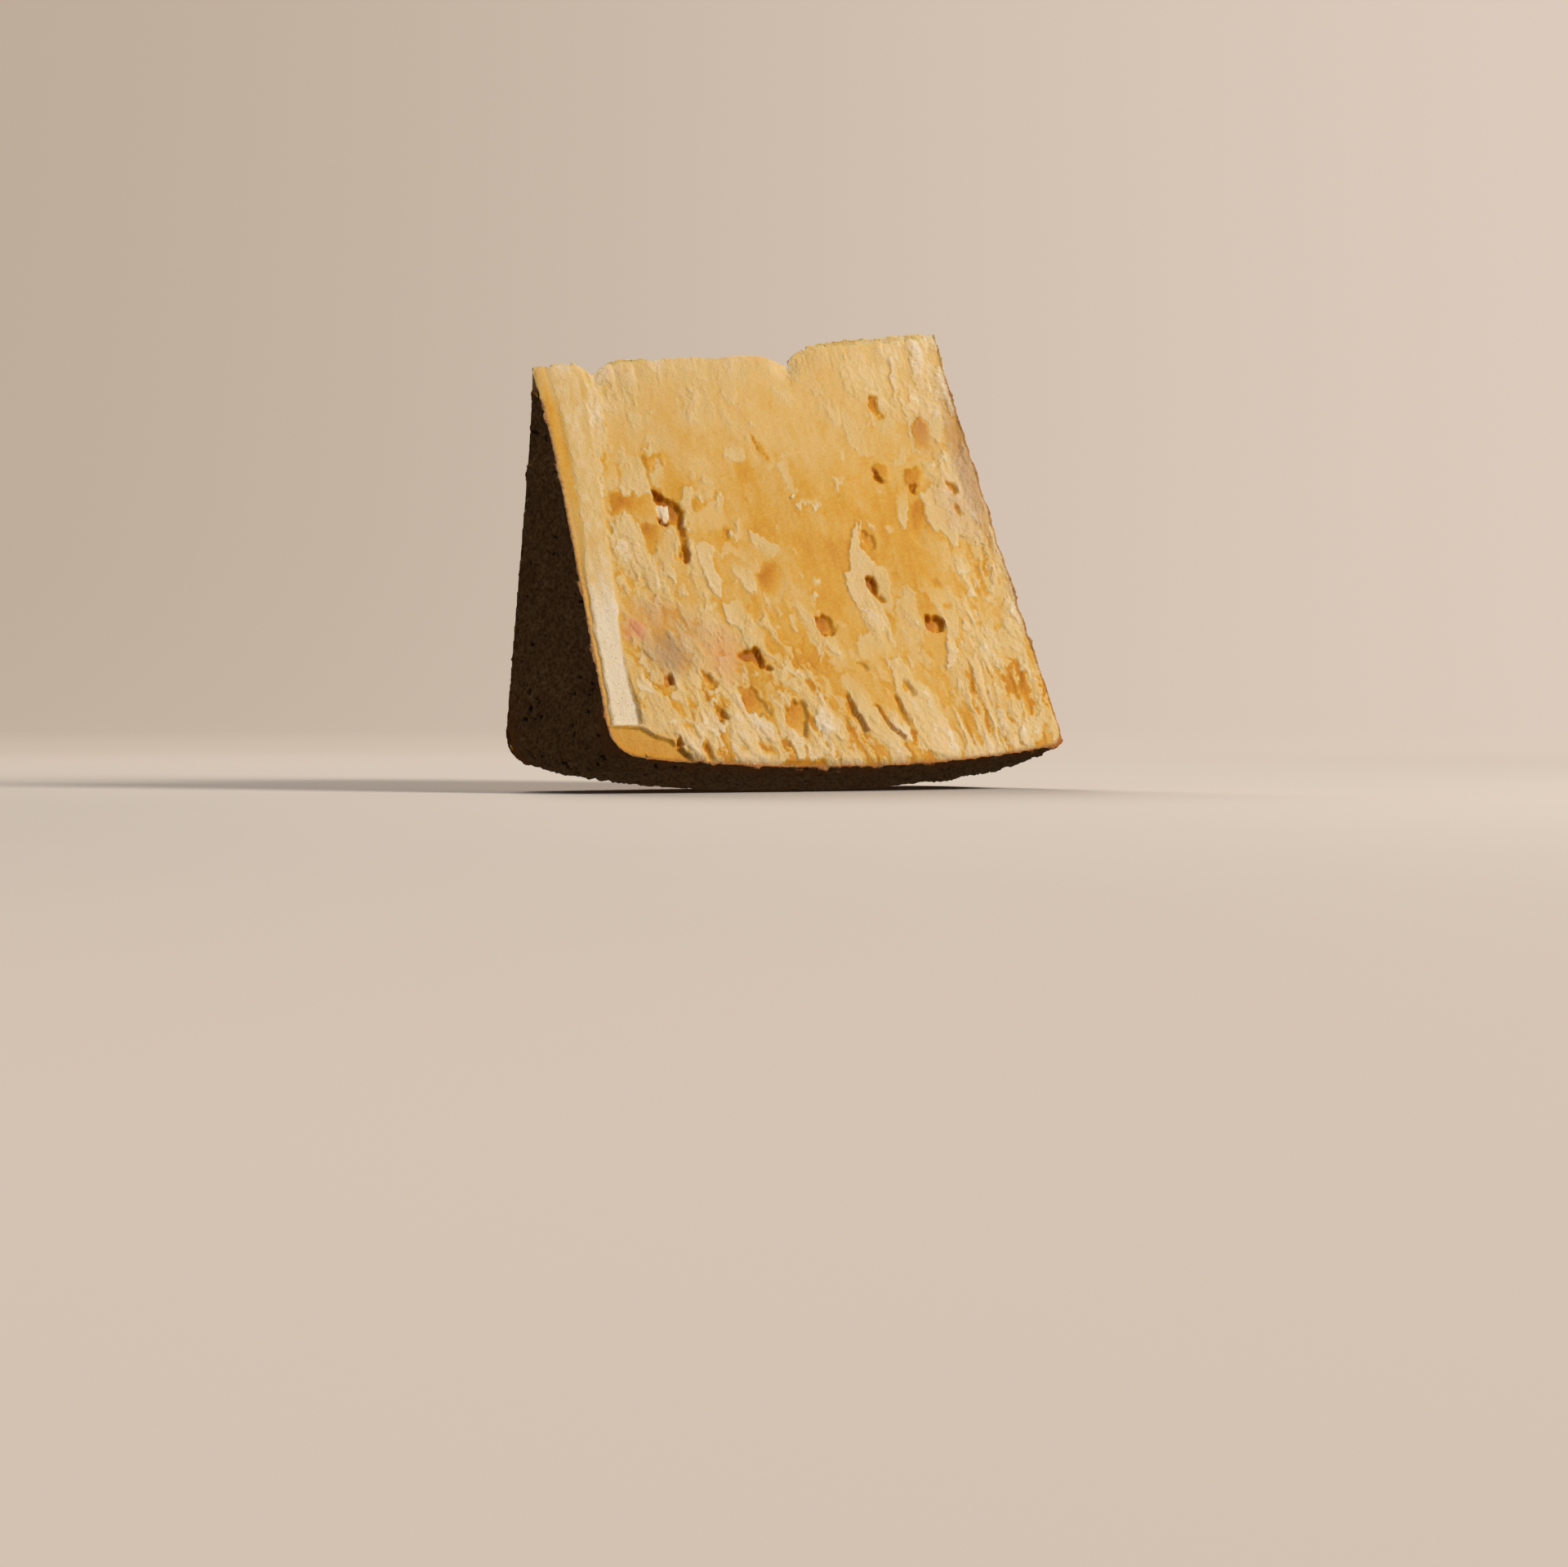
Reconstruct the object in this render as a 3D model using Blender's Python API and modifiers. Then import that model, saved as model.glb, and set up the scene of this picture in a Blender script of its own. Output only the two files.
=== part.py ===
"""Wedge split from a small wheel of hard cheese, standing on its rind.

The wheel lies on its side, its axis nearly along X. The wedge is about a twelfth of it: two broken faces
run up from the rind to a ragged tip line near the axis, and the wheel's two flat sides close the
ends. Units are metres, +Z is up, and the origin is below the middle of the wedge, on the surface
that it stands on.
"""
import math

import bpy
from mathutils import Vector

# The wheel
WHEEL_RADIUS = 0.1140
BARREL_RISE = 0.0052        # how far the rim bulges over half the wheel's height
BARREL_MIDDLE_X = 0.0040    # where it is widest
LEFT_RIM_X = -0.0694        # flat side at -X, where it would meet the rim
LEFT_HUB_X = -0.0584        # the same side at the axis: it is dished
LEFT_SHOULDER = 0.0080      # radius of the rounded edge between that side and the rim
RIGHT_RIM_X = 0.0650
RIGHT_HUB_X = 0.0664
RIGHT_SHOULDER = 0.0050
WHEEL_YAW = math.radians(5.0)           # the splits ran a little askew to the wheel's axis

# The two broken faces, where they leave the rind, and their slopes
FRONT_EDGE = (-0.0380, 0.0065)          # Y, Z
FRONT_LEAN = math.radians(27.9)         # from upright, towards +Y
BACK_EDGE = (0.0204, 0.0020)
BACK_LEAN = math.radians(0.25)          # from upright, towards -Y
BACK_YAW = math.radians(3.6)            # the wedge is thicker at its +X end

# The blunt, lower stretch of the tip
BLUNT_TIP_END_X = 0.0165
BLUNT_TIP_Z = 0.1152
BLUNT_TIP_SLOPE = math.radians(3.8)

REST_FLAT = 0.0006          # how far the rind has settled flat where it rests

SHOULDER_ROOM = 1.5         # the rim's curve stops this many shoulder radii short of the flat side
MERGE_DISTANCE = 0.00005    # joins the turned profile's points on the axis
TURN_STEPS = 180
BARREL_STEPS = 16
SHOULDER_STEPS = 6
CUTTER_SIZE = 0.8

PASTE_COLOUR = (0.72, 0.45, 0.15, 1.0)


def clear_scene():
    """Remove every object that the file opened with."""
    for obj in list(bpy.data.objects):
        bpy.data.objects.remove(obj, do_unlink=True)


def new_collection(name):
    """Make a collection in the scene."""
    collection = bpy.data.collections.new(name)
    bpy.context.scene.collection.children.link(collection)
    return collection


def rounded_corner(corner, before, after, radius, steps):
    """Points of an arc that rounds the corner between two straight runs, in order."""
    to_before = (before - corner).normalized()
    to_after = (after - corner).normalized()
    half = to_before.angle(to_after) / 2.0
    middle = (to_before + to_after).normalized()
    centre = corner + middle * (radius / math.sin(half))
    first = corner + to_before * (radius / math.tan(half)) - centre
    last = corner + to_after * (radius / math.tan(half)) - centre
    sweep = first.angle(last)
    points = []
    for i in range(steps + 1):
        share = i / steps
        weight_first = math.sin((1.0 - share) * sweep) / math.sin(sweep)
        weight_last = math.sin(share * sweep) / math.sin(sweep)
        points.append(centre + first * weight_first + last * weight_last)
    return points


def rim_radius(along):
    """Radius of the barrel-shaped rim at a place along the wheel's axis."""
    half = (RIGHT_RIM_X - LEFT_RIM_X) / 2.0
    return WHEEL_RADIUS - BARREL_RISE * ((along - BARREL_MIDDLE_X) / half) ** 2


def rim_point(along):
    """Point of the profile on the rim: radius, then place along the axis."""
    return Vector((rim_radius(along), along))


def wheel_profile():
    """Half section of the wheel, from the hub of one flat side over the rim to the other."""
    right_start = RIGHT_RIM_X - RIGHT_SHOULDER * SHOULDER_ROOM
    left_start = LEFT_RIM_X + LEFT_SHOULDER * SHOULDER_ROOM
    right_hub = Vector((0.0, RIGHT_HUB_X))
    left_hub = Vector((0.0, LEFT_HUB_X))
    points = [right_hub]
    points += rounded_corner(rim_point(RIGHT_RIM_X), right_hub, rim_point(right_start),
                             RIGHT_SHOULDER, SHOULDER_STEPS)
    for i in range(BARREL_STEPS + 1):
        points.append(rim_point(right_start + (left_start - right_start) * i / BARREL_STEPS))
    points += rounded_corner(rim_point(LEFT_RIM_X), rim_point(left_start), left_hub,
                             LEFT_SHOULDER, SHOULDER_STEPS)
    points.append(left_hub)
    return points


def make_wheel(collection):
    """Turn the whole wheel about its axis, then lay the axis nearly along X."""
    points = [(p.x, 0.0, p.y) for p in wheel_profile()]
    edges = [(i, i + 1) for i in range(len(points) - 1)]
    mesh = bpy.data.meshes.new("cheese_wedge")
    mesh.from_pydata(points, edges, [])
    wheel = bpy.data.objects.new("cheese_wedge", mesh)
    collection.objects.link(wheel)
    wheel.rotation_euler = (0.0, math.radians(90.0), WHEEL_YAW)
    wheel.location.z = WHEEL_RADIUS
    screw = wheel.modifiers.new("turn", "SCREW")
    screw.axis = "Z"
    screw.steps = TURN_STEPS
    screw.render_steps = TURN_STEPS
    screw.use_merge_vertices = True
    screw.merge_threshold = MERGE_DISTANCE
    screw.use_smooth_shade = True
    return wheel


def cutter_block(name, corner, rotation, side, collection):
    """A block with one face through a point; it lies on the given side of that face."""
    bpy.ops.mesh.primitive_cube_add(size=CUTTER_SIZE)
    block = bpy.context.active_object
    block.name = name
    block.rotation_euler = rotation
    offset = block.rotation_euler.to_matrix() @ (Vector(side) * CUTTER_SIZE / 2.0)
    block.location = Vector(corner) + offset
    for other in list(block.users_collection):
        other.objects.unlink(block)
    collection.objects.link(block)
    block.hide_render = True
    block.display_type = "WIRE"
    return block


def make_cutters(collection):
    """The blocks that leave the wedge: two broken faces, the blunt tip, and the resting flat."""
    front = cutter_block("cut_front", (0.0, *FRONT_EDGE), (-FRONT_LEAN, 0.0, 0.0),
                         (0.0, -1.0, 0.0), collection)
    back = cutter_block("cut_back", (0.0, *BACK_EDGE), (BACK_LEAN, 0.0, BACK_YAW),
                        (0.0, 1.0, 0.0), collection)
    tip = cutter_block("cut_tip", (BLUNT_TIP_END_X, 0.0, BLUNT_TIP_Z),
                       (0.0, -BLUNT_TIP_SLOPE, 0.0), (-1.0, 0.0, 1.0), collection)
    rest = cutter_block("cut_rest", (BARREL_MIDDLE_X, 0.0, REST_FLAT), (0.0, 0.0, 0.0),
                        (0.0, 0.0, -1.0), collection)
    return [front, back, tip, rest]


def cut(target, cutters):
    """Take each block away from the wheel."""
    for block in cutters:
        boolean = target.modifiers.new(block.name, "BOOLEAN")
        boolean.operation = "DIFFERENCE"
        boolean.solver = "EXACT"
        boolean.object = block


def make_material(name, colour, roughness):
    """A plain Principled material."""
    material = bpy.data.materials.new(name)
    material.use_nodes = True
    shader = material.node_tree.nodes["Principled BSDF"]
    shader.inputs["Base Color"].default_value = colour
    shader.inputs["Roughness"].default_value = roughness
    shader.inputs["Metallic"].default_value = 0.0
    material.diffuse_color = colour
    return material


def stand_on_origin(wedge, cutters, collection):
    """Hang everything on one empty, and set it so the wedge stands centred on the origin."""
    frame = bpy.data.objects.new("wedge_frame", None)
    collection.objects.link(frame)
    for obj in [wedge] + cutters:
        obj.parent = frame
    bpy.context.view_layer.update()
    depsgraph = bpy.context.evaluated_depsgraph_get()
    evaluated = wedge.evaluated_get(depsgraph)
    corners = [evaluated.matrix_world @ v.co for v in evaluated.data.vertices]
    for axis in (0, 1):
        values = [c[axis] for c in corners]
        frame.location[axis] = -(min(values) + max(values)) / 2.0
    frame.location.z = -min(c.z for c in corners)
    bpy.context.view_layer.update()


def main():
    clear_scene()
    parts = new_collection("cheese_wedge_parts")
    tools = new_collection("cutters")
    wedge = make_wheel(parts)
    cutters = make_cutters(tools)
    cut(wedge, cutters)
    wedge.data.materials.append(make_material("cheese_paste", PASTE_COLOUR, 0.5))
    stand_on_origin(wedge, cutters, tools)


main()
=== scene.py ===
"""Looks of the cheese wedge: one piece of hard cheese, with two broken faces and a grainy rind.

The wedge is one closed mesh, made from the CAD solid and worked finely in millimetres. Each broken
face is a height map over (u, v): u runs along the wedge, v runs up the slope from the rind to the
tip. The same maps say where the paste is pale, deep or blushed, and the material reads that.
"""
import math
from types import SimpleNamespace

import bpy
import numpy as np
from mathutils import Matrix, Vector
from mathutils.bvhtree import BVHTree


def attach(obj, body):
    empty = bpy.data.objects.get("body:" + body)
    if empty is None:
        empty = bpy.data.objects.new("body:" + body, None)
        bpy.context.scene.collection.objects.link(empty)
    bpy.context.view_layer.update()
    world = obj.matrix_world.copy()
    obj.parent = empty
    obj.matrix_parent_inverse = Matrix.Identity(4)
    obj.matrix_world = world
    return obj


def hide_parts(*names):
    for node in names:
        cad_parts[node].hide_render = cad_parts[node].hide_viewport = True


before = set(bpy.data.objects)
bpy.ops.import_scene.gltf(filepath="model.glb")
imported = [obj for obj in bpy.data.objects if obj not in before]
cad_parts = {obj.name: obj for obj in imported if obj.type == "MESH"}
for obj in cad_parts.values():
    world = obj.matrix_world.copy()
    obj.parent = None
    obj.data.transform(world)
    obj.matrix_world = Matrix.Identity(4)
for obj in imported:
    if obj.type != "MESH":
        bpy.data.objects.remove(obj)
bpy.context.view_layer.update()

NODE = "cheese_wedge"
MM = 0.001

# Where the camera stands, seen from the spot it looks at (metres and degrees); its lens and sensor in mm
CAMERA_AIM = (0.0031, 0.0068)
CAMERA_AZIMUTH = -30.0
CAMERA_DISTANCE = 1.14
CAMERA_HEIGHT = 0.024
CAMERA_PITCH = -1.13
CAMERA_SIDE = 0.00107
CAMERA_LENS = 100.0
CAMERA_SENSOR = 36.0
CAMERA_CLIP_END = 20.0

# The stage, a floor that curves up into a wall (metres), and the light
FLOOR_RADIUS = 1.9          # where the floor starts to curve up
WALL_BEND = 0.9             # radius of that curve
WALL_TOP = 3.2
BEND_STEPS = 12
STAGE_TURN_STEPS = 96
GLOW_START = 0.18           # distance from the wedge where the stage starts to glow by itself
GLOW_FULL = 0.95
SIDE_SLOPE = 0.58           # the glow's colour changes along x less this much of y: across the view
LAMP_AIM_Z = 0.06           # the lamps point at this height
SKY_COLOUR = (0.93, 0.93, 1.0, 1.0)
SKY_STRENGTH = 0.08

# Places on the CAD solid (mm, and metres for RIND_EDGE_Z, HIGH_Z, STEP_REACH and WELD_DISTANCE)
WHEEL_RADIUS = 114.0        # of the wheel that the wedge came from
REST_Y = 6.8                # where the barrel touches the surface, across the wedge
RIND_EDGE_Z = 0.0059        # height of the rind's edge line, where both maps have v = 0
HIGH_Z = 0.105              # faces above this are part of the tip
STEP_REACH = 0.04           # the step in the tip lies this near to the middle
WELD_DISTANCE = 0.00001
MARK_PITCH = 4.9            # spacing of the mould's marks on the barrel
ROW_SHARE = 0.866           # spacing of their rows, as a share of that

# The features left to chance, and the tones of the crumbs and of the blunt tip
OUTLINE_POINTS = 11
HOLLOW_EVERY = 24           # one in so many is a hollow, the rest are flakes
CRUMB_TONE = 1.5
TIP_TONE = 0.7

# The paste's colour along its tone, from the deepest hollows to chalk
TONE_COLOURS = [
    (-1.25, (0.40, 0.12, 0.004)), (-0.80, (0.60, 0.24, 0.010)), (-0.40, (0.68, 0.350, 0.040)),
    (-0.10, (0.70, 0.425, 0.125)), (0.20, (0.73, 0.480, 0.182)), (0.60, (0.75, 0.510, 0.215)),
    (1.00, (0.765, 0.545, 0.28)), (1.60, (0.81, 0.67, 0.49)),
]
PINK = (0.70, 0.24, 0.12, 1.0)
BROWN = (0.42, 0.25, 0.13, 1.0)
UNDER_RIND = (0.42, 0.17, 0.035, 1.0)
RIND_SAND = (0.50, 0.27, 0.10, 1.0)
RIND_BROWN = (0.27, 0.110, 0.032, 1.0)
# Red of the crust along the paste; near the foot it is also painted warm light thrown up from below
RIND_RED_AND_BOUNCE_LIGHT = (0.50, 0.17, 0.040, 1.0)
RIND_DARK = (0.045, 0.018, 0.008, 1.0)

# The plaster of the stage: lit by the lamps on the floor, glowing on the wall as painted light that is
# brighter towards the right of the view
FLOOR_TONE = (0.66, 0.585, 0.525, 1.0)
FLOOR_TONE_LIGHT = (0.69, 0.615, 0.555, 1.0)
WALL_GLOW_LEFT = (0.50, 0.403, 0.312, 1.0)
WALL_GLOW_RIGHT = (0.715, 0.595, 0.500, 1.0)
WALL_TONE = (0.04, 0.035, 0.03, 1.0)

# Fineness of the mesh and of the height maps (mm)
VOXEL = 0.38
MAP_PITCH = 0.25
MAP_U = (-76.0, 76.0)
MAP_V = (-8.0, 142.0)

# Torn flakes on the front face. Each is: tone (0 is amber, 1 is cream), lift in mm, the way in which it
# melts into the face in degrees (0 is +u, 90 is up the face), and its outline: u, v, u, v and so on in mm
FRONT_FLAKES = [
    (0.45, 0.5, 270, [-17, 101, -17.3, 106, -17, 111, -14.5, 113, -11, 111, -10, 105, -13, 99.5]),
    (0.45, 0.5, 0, [34, 123, 37, 126, 44, 124, 44, 112, 40, 110, 36, 112, 34.5, 116]),
    (0.4, 0.5, 90, [14.5, 119, 17, 123, 22, 124, 24, 117, 26, 111, 23, 111.5, 19, 115]),
    (0.5, 0.5, 90, [-7, 111, -6.5, 118, -3, 121, 0, 118, -2, 110, -4, 108]),
    (0.4, 0.5, 270, [-43, 104, -40, 111, -37.5, 109, -36.5, 104, -39.5, 101.5]),
    (0.55, 0.6, 0, [-33.5, 106, -32.8, 111.5, -32, 108, -32.5, 105.8]),
    (0.85, 1.2, 120, [-44, 91, -41, 90.5, -40, 92.5, -38.5, 90.5, -36.5, 92.5, -35, 90.5, -35, 80,
     -37, 79.5, -41.5, 79, -43, 80, -45, 80.5, -43.5, 84, -42, 87, -43, 89.5]),
    (0.8, 1.0, 20, [-34.8, 91.5, -33.5, 93.5, -32.8, 95.5, -32.8, 98, -31, 99.3, -30.2, 97.5, -30, 95,
     -28.5, 93, -29.5, 91.8]),
    (0.55, 0.8, 340, [-34, 84, -34, 86.5, -32.5, 90, -30.5, 90.8, -30, 88, -30, 82.5, -32, 80.5]),
    (0.5, 0.4, 120, [-49, 84, -47, 87, -44, 89, -43.6, 84, -45.5, 80.5, -48, 78.5]),
    (0.65, 0.9, 240, [-50, 69, -48, 72, -45, 74.5, -43, 73, -41.3, 71, -41, 67, -42, 64, -43, 61, -48, 61.5,
     -49.5, 65]),
    (0.7, 1.1, 290, [-28.5, 77.5, -26, 79.5, -25.5, 82.5, -23.5, 83, -22.5, 80.5, -24, 78.5, -24, 75.5,
     -20.5, 74.7, -19.8, 77, -18.5, 79, -16.5, 79.5, -15.5, 81.5, -14.5, 80, -14.5, 72, -18, 69, -27.8, 70,
     -27.3, 74.5]),
    (1.05, 1.3, 90, [-22.8, 81.5, -21.3, 81.3, -20.5, 77.5, -21.2, 76.5, -22, 79]),
    (0.55, 0.9, 200, [-37.5, 65.5, -35, 67, -33, 71.5, -31, 70.5, -31, 66.5, -31.6, 62, -33, 61, -34.5, 64,
     -36.5, 64]),
    (1.0, 0.8, 0, [-15.5, 68, -13, 69, -12, 67.5, -15, 66]),
    (0.75, 0.7, 60, [-11, 92, -9.8, 95.5, -6, 96.5, -4, 95, -4.8, 91.5, -7.5, 90.7]),
    (0.35, 0.4, 270, [-8.5, 108, -6.5, 104, -5.5, 97, -7.5, 97, -9, 102]),
    (0.95, 0.7, 45, [19.5, 82.5, 20, 85.5, 22, 86, 24, 87.2, 23.5, 85.5, 21.5, 83]),
    (1.0, 0.7, 90, [7, 76.5, 7.5, 78.5, 10, 79, 12, 79.2, 14, 78, 12.5, 76.7, 10, 77.2]),
    (0.5, 0.4, 0, [4.5, 82, 4.5, 88, 6.5, 93, 9, 95, 8.5, 90, 8, 84, 9.5, 79, 7.5, 79.5]),
    (0.6, 0.5, 0, [24.5, 91, 24.4, 94, 26, 94.8, 26.6, 91.5]),
    (0.6, 0.5, 0, [23.6, 101.5, 24.2, 103.5, 26.6, 106.8, 27, 105, 25, 104.2]),
    (0.45, 0.4, 0, [28.5, 107, 30.5, 108, 33, 106, 34, 96, 36.5, 101, 37.4, 97, 35, 93, 31, 92, 29, 98]),
    (0.75, 0.7, 0, [36.8, 107.5, 38.4, 107.8, 39.5, 105, 38, 102.8, 37, 105]),
    (0.75, 0.8, 250, [-10, 66, -9, 69.5, -7.5, 70, -6.5, 68, -4.5, 67.5, -4, 65.5, -2, 65.5, -1.5, 63,
     -4, 61.5, -6, 60.5, -6.5, 62.5, -9, 63.5]),
    (0.8, 1.0, 20, [50, 110, 53, 113, 58, 114, 59.5, 108, 59, 100, 57.5, 99, 55.5, 99.5, 55, 104, 53, 107,
     51.5, 108.5]),
    (0.85, 0.9, 0, [48.8, 101.5, 48.5, 106.5, 50.5, 107, 50, 103, 51, 101.5, 50, 101]),
    (0.8, 1.2, 30, [45.6, 76.5, 45.2, 81, 47.5, 83.5, 50, 84.5, 53, 83, 56, 82, 60, 83, 61, 76, 60, 70,
     57, 68.5, 54.5, 69, 53, 65, 52, 68, 50, 70.5, 47, 70.5, 46, 73.5]),
    (0.65, 0.9, 90, [40, 84, 42.5, 84, 42, 80, 40.3, 76, 39.5, 71.5, 38, 72, 37, 74, 38.5, 77.5, 39, 81]),
    (0.45, 0.6, 90, [40.5, 91.5, 42.5, 93.5, 44.5, 96, 49, 99, 46, 93, 43.5, 91]),
    (0.9, 0.7, 90, [48.3, 92.5, 50, 93.5, 50.8, 91.5, 51, 90.2, 49.6, 91]),
    (0.95, 0.7, 0, [26.7, 72.5, 27.3, 75, 28.2, 72.5, 29.8, 71.5, 28, 70.3]),
    (0.7, 0.6, 0, [32, 71.5, 34, 73, 35.5, 71, 35, 69.5]),
    (1.05, 0.8, 90, [52.5, 82.5, 53.5, 85.5, 55.5, 85.5, 56.5, 82, 55, 81.3]),
    (0.9, 1.5, 330, [18, 60, 20, 66, 22.3, 71, 24, 73, 24.2, 70, 22.6, 64, 25.6, 63.5, 25.7, 60, 29, 60,
     29.8, 55.5, 28.5, 52, 27.3, 47, 27, 43, 27.5, 38.5, 24, 36, 20, 37.5, 18.5, 42, 17.5, 46, 17, 49.5,
     16, 53, 16, 57]),
    (1.15, 1.7, 270, [23.3, 64.5, 24.2, 69, 25.2, 73, 25.3, 70, 24.2, 66]),
    (1.0, 1.3, 270, [19, 46, 21.5, 46.5, 22, 42, 24, 40.5, 22, 39, 20, 42]),
    (0.55, 0.8, 300, [13.5, 35.5, 16.5, 39, 18, 41, 19.5, 38, 24, 36.5, 22, 31.5, 16, 30.5, 13.5, 32.5]),
    (0.45, 0.8, 240, [31, 50.5, 33.8, 54, 35.5, 52, 36, 46, 35.5, 40, 32, 36, 28, 38, 28, 48]),
    (0.8, 0.7, 0, [28.3, 28, 28, 31, 29, 33.5, 29.5, 28]),
    (0.65, 1.1, 10, [21.3, 28, 20.8, 21, 22.7, 15.5, 23.3, 11.5, 23, 4, 33, 3, 41, 4, 41, 14, 35, 19,
     31, 24, 27, 29, 24, 33, 20.5, 32]),
    (0.95, 1.4, 60, [37.5, 54, 38, 57.5, 39.5, 57.5, 42.5, 55.5, 43, 52.5, 45.5, 53, 46, 55, 47.5, 54,
     48.7, 49, 47.5, 45.5, 46, 40, 44, 38, 44, 34, 42, 30, 39.5, 29, 39.5, 32, 41, 36, 42.3, 41, 41.5, 45,
     41, 48, 39.5, 51]),
    (1.0, 0.9, 90, [47, 38, 47, 40.5, 49, 40, 50.5, 37, 49.5, 36]),
    (0.95, 0.8, 200, [3.3, 47, 3.5, 50, 5.5, 52.5, 6, 51, 5, 47.5, 5.3, 45.5]),
    (1.0, 0.8, 180, [5, 57.5, 7, 56.5, 8.5, 54.7, 6.5, 54.5]),
    (0.95, 0.8, 90, [3.5, 36, 4.5, 38, 7.5, 37.5, 9, 35, 8, 32.7, 5.5, 33]),
    (0.55, 0.8, 40, [5.5, 24, 8, 27.5, 10, 28, 12.5, 25, 13, 20, 14, 14, 13, 12.5, 9.5, 14.5, 8, 19,
     6.5, 21]),
    (0.85, 0.8, 90, [8, 16.5, 9.5, 16, 10, 11, 9.3, 10.5, 8.2, 13]),
    (1.05, 1.1, 90, [16, 18, 19, 17.5, 19.5, 14, 19.8, 10, 21, 12.3, 22.5, 11.5, 22.7, 8.5, 21.5, 7,
     19.3, 8.5, 17, 12]),
    (1.2, 1.1, 30, [-4.5, 16.5, 0, 17.5, 3, 16, 4, 13, 2.5, 10.3, -1, 9.5, -5, 9.5, -5.3, 13]),
    (1.15, 1.3, 120, [-19, 24.5, -16.5, 25, -13.5, 22, -11, 21, -10.8, 19, -13, 16.5, -13.8, 13, -12, 9,
     -10.5, 8, -10.8, 3, -12.5, 1.3, -14, 3, -14.5, 6.5, -16.5, 9, -17, 13, -16.5, 17, -18.5, 20]),
    (1.05, 1.0, 90, [-9.3, 11, -7, 11, -5.5, 7, -5.5, 2.5, -10.5, 1.5, -10.5, 5.5, -9, 8.5]),
    (1.15, 1.1, 60, [-39.5, 20, -37.5, 20, -35, 18.5, -34.8, 15, -33, 12.5, -31, 11, -34, 9.5, -36.5, 10,
     -38, 13, -39, 16]),
    (1.15, 1.2, 0, [-34.7, 17.5, -34.7, 20, -33, 21.5, -31.3, 20.5, -30.7, 18, -31.7, 17.3, -32.5, 19.5,
     -33.5, 19]),
    (0.75, 0.9, 90, [-36.5, 35, -34, 35.5, -32, 33, -32, 30, -34, 28, -35.5, 25, -35.5, 22.5, -37.5, 21.5,
     -38.5, 25, -37.5, 29, -36.5, 32]),
    (0.9, 0.8, 90, [-33, 29, -31, 29, -30.3, 26.5, -31.5, 25, -33.3, 26]),
    (0.9, 1.0, 90, [-47, 12, -44.5, 12, -43, 9.5, -36, 9.5, -35.5, 6, -38, 4, -40, 3, -43, 4.5, -46, 6.5,
     -48, 8.5]),
    (0.9, 0.9, 90, [-32.5, 2.5, -31, 5, -28, 5.2, -20, 4.5, -17, 5, -16, 3, -17, 1.3, -26, 0.8, -30, 1.5]),
    (0.8, 0.8, 45, [-30, 9, -29, 13, -27, 15.5, -24.5, 15, -24, 11, -22.5, 8, -24, 7, -27.5, 8]),
    (0.95, 1.0, 300, [-24.5, 15.5, -22.5, 15, -18.5, 12, -17, 9, -18, 6.5, -21.5, 7, -22.5, 10.5]),
    (0.55, 0.6, 0, [-28.5, 16, -28, 22, -29.5, 28, -28, 32, -24.5, 32, -24.5, 25, -25, 18, -26, 15]),
    (0.9, 0.8, 0, [-45, 22, -42.5, 24, -40, 21, -39.8, 18, -42, 17.5, -44, 20]),
    (0.85, 0.7, 0, [-47.2, 20.5, -45.5, 20, -45.2, 17.5, -46.5, 17.5]),
    (0.85, 0.7, 200, [-46, 14.5, -43, 14, -40.5, 12, -41, 11.3, -45, 13.3]),
    (0.75, 0.7, 180, [-54, 16, -51.5, 20.5, -50.5, 17, -48, 13, -49, 9.5, -52, 10, -55, 12]),
    (0.6, 0.6, 0, [-54.5, 20, -52.5, 25, -50.5, 25, -51.8, 20.5, -54, 17]),
    (0.9, 0.8, 270, [-42.2, 37, -41.5, 40, -40, 40, -39.5, 38, -37.5, 38, -36.8, 35, -38.5, 34,
     -41, 35.5]),
    (0.8, 0.7, 90, [-50, 33.5, -48.7, 35.5, -47, 34, -47, 31.5, -48.5, 31]),
    (0.9, 1.2, 20, [-26, 64, -26, 57, -25.3, 50, -23, 50, -21.8, 54, -23, 58, -22.5, 62, -18, 64.5,
     -14, 65, -12, 62.5, -16, 61, -20, 62, -23, 66.5]),
    (0.85, 1.1, 60, [-17.5, 58, -14, 58.5, -13.5, 60, -12, 58, -11.5, 54, -12.5, 50, -14.5, 50.5, -17, 54]),
    (0.85, 1.1, 20, [-23.5, 49.5, -20, 49, -18.5, 49.8, -17, 48, -17.5, 44.5, -19, 42, -19.5, 38, -21.5, 40,
     -23, 43, -23.5, 46]),
    (0.95, 0.8, 0, [-28.7, 45.5, -27.7, 48.5, -24, 48.5, -24.5, 46.5, -27, 46.3]),
    (0.65, 0.7, 0, [-17.8, 36, -17.3, 40, -16.5, 42, -15, 38, -15.5, 35.8]),
    (0.85, 0.8, 300, [-43.5, 45, -42, 49, -40.3, 51, -41, 47.5, -42, 45]),
    (0.85, 0.7, 90, [-34.8, 50, -34.3, 54, -32.8, 54, -32.7, 50, -33.5, 48.5]),
    (0.8, 0.6, 90, [-39, 51.5, -37.3, 54, -37.5, 51.5]),
    (1.05, 0.8, 0, [-19.8, 27, -19, 29, -17.5, 28.3, -17.5, 26.5]),
    (0.95, 0.7, 0, [-23.3, 25.5, -22.5, 27, -21.5, 26.3, -22, 25]),
    (0.65, 0.7, 90, [-14.5, 26, -12.5, 28, -9, 26.5, -6, 28, -4, 30, -3, 25, -8, 24.5, -11, 24]),
    (0.9, 0.9, 0, [50, 16, 52.5, 16.5, 54, 13.5, 52.5, 10.5, 51, 13]),
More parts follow.
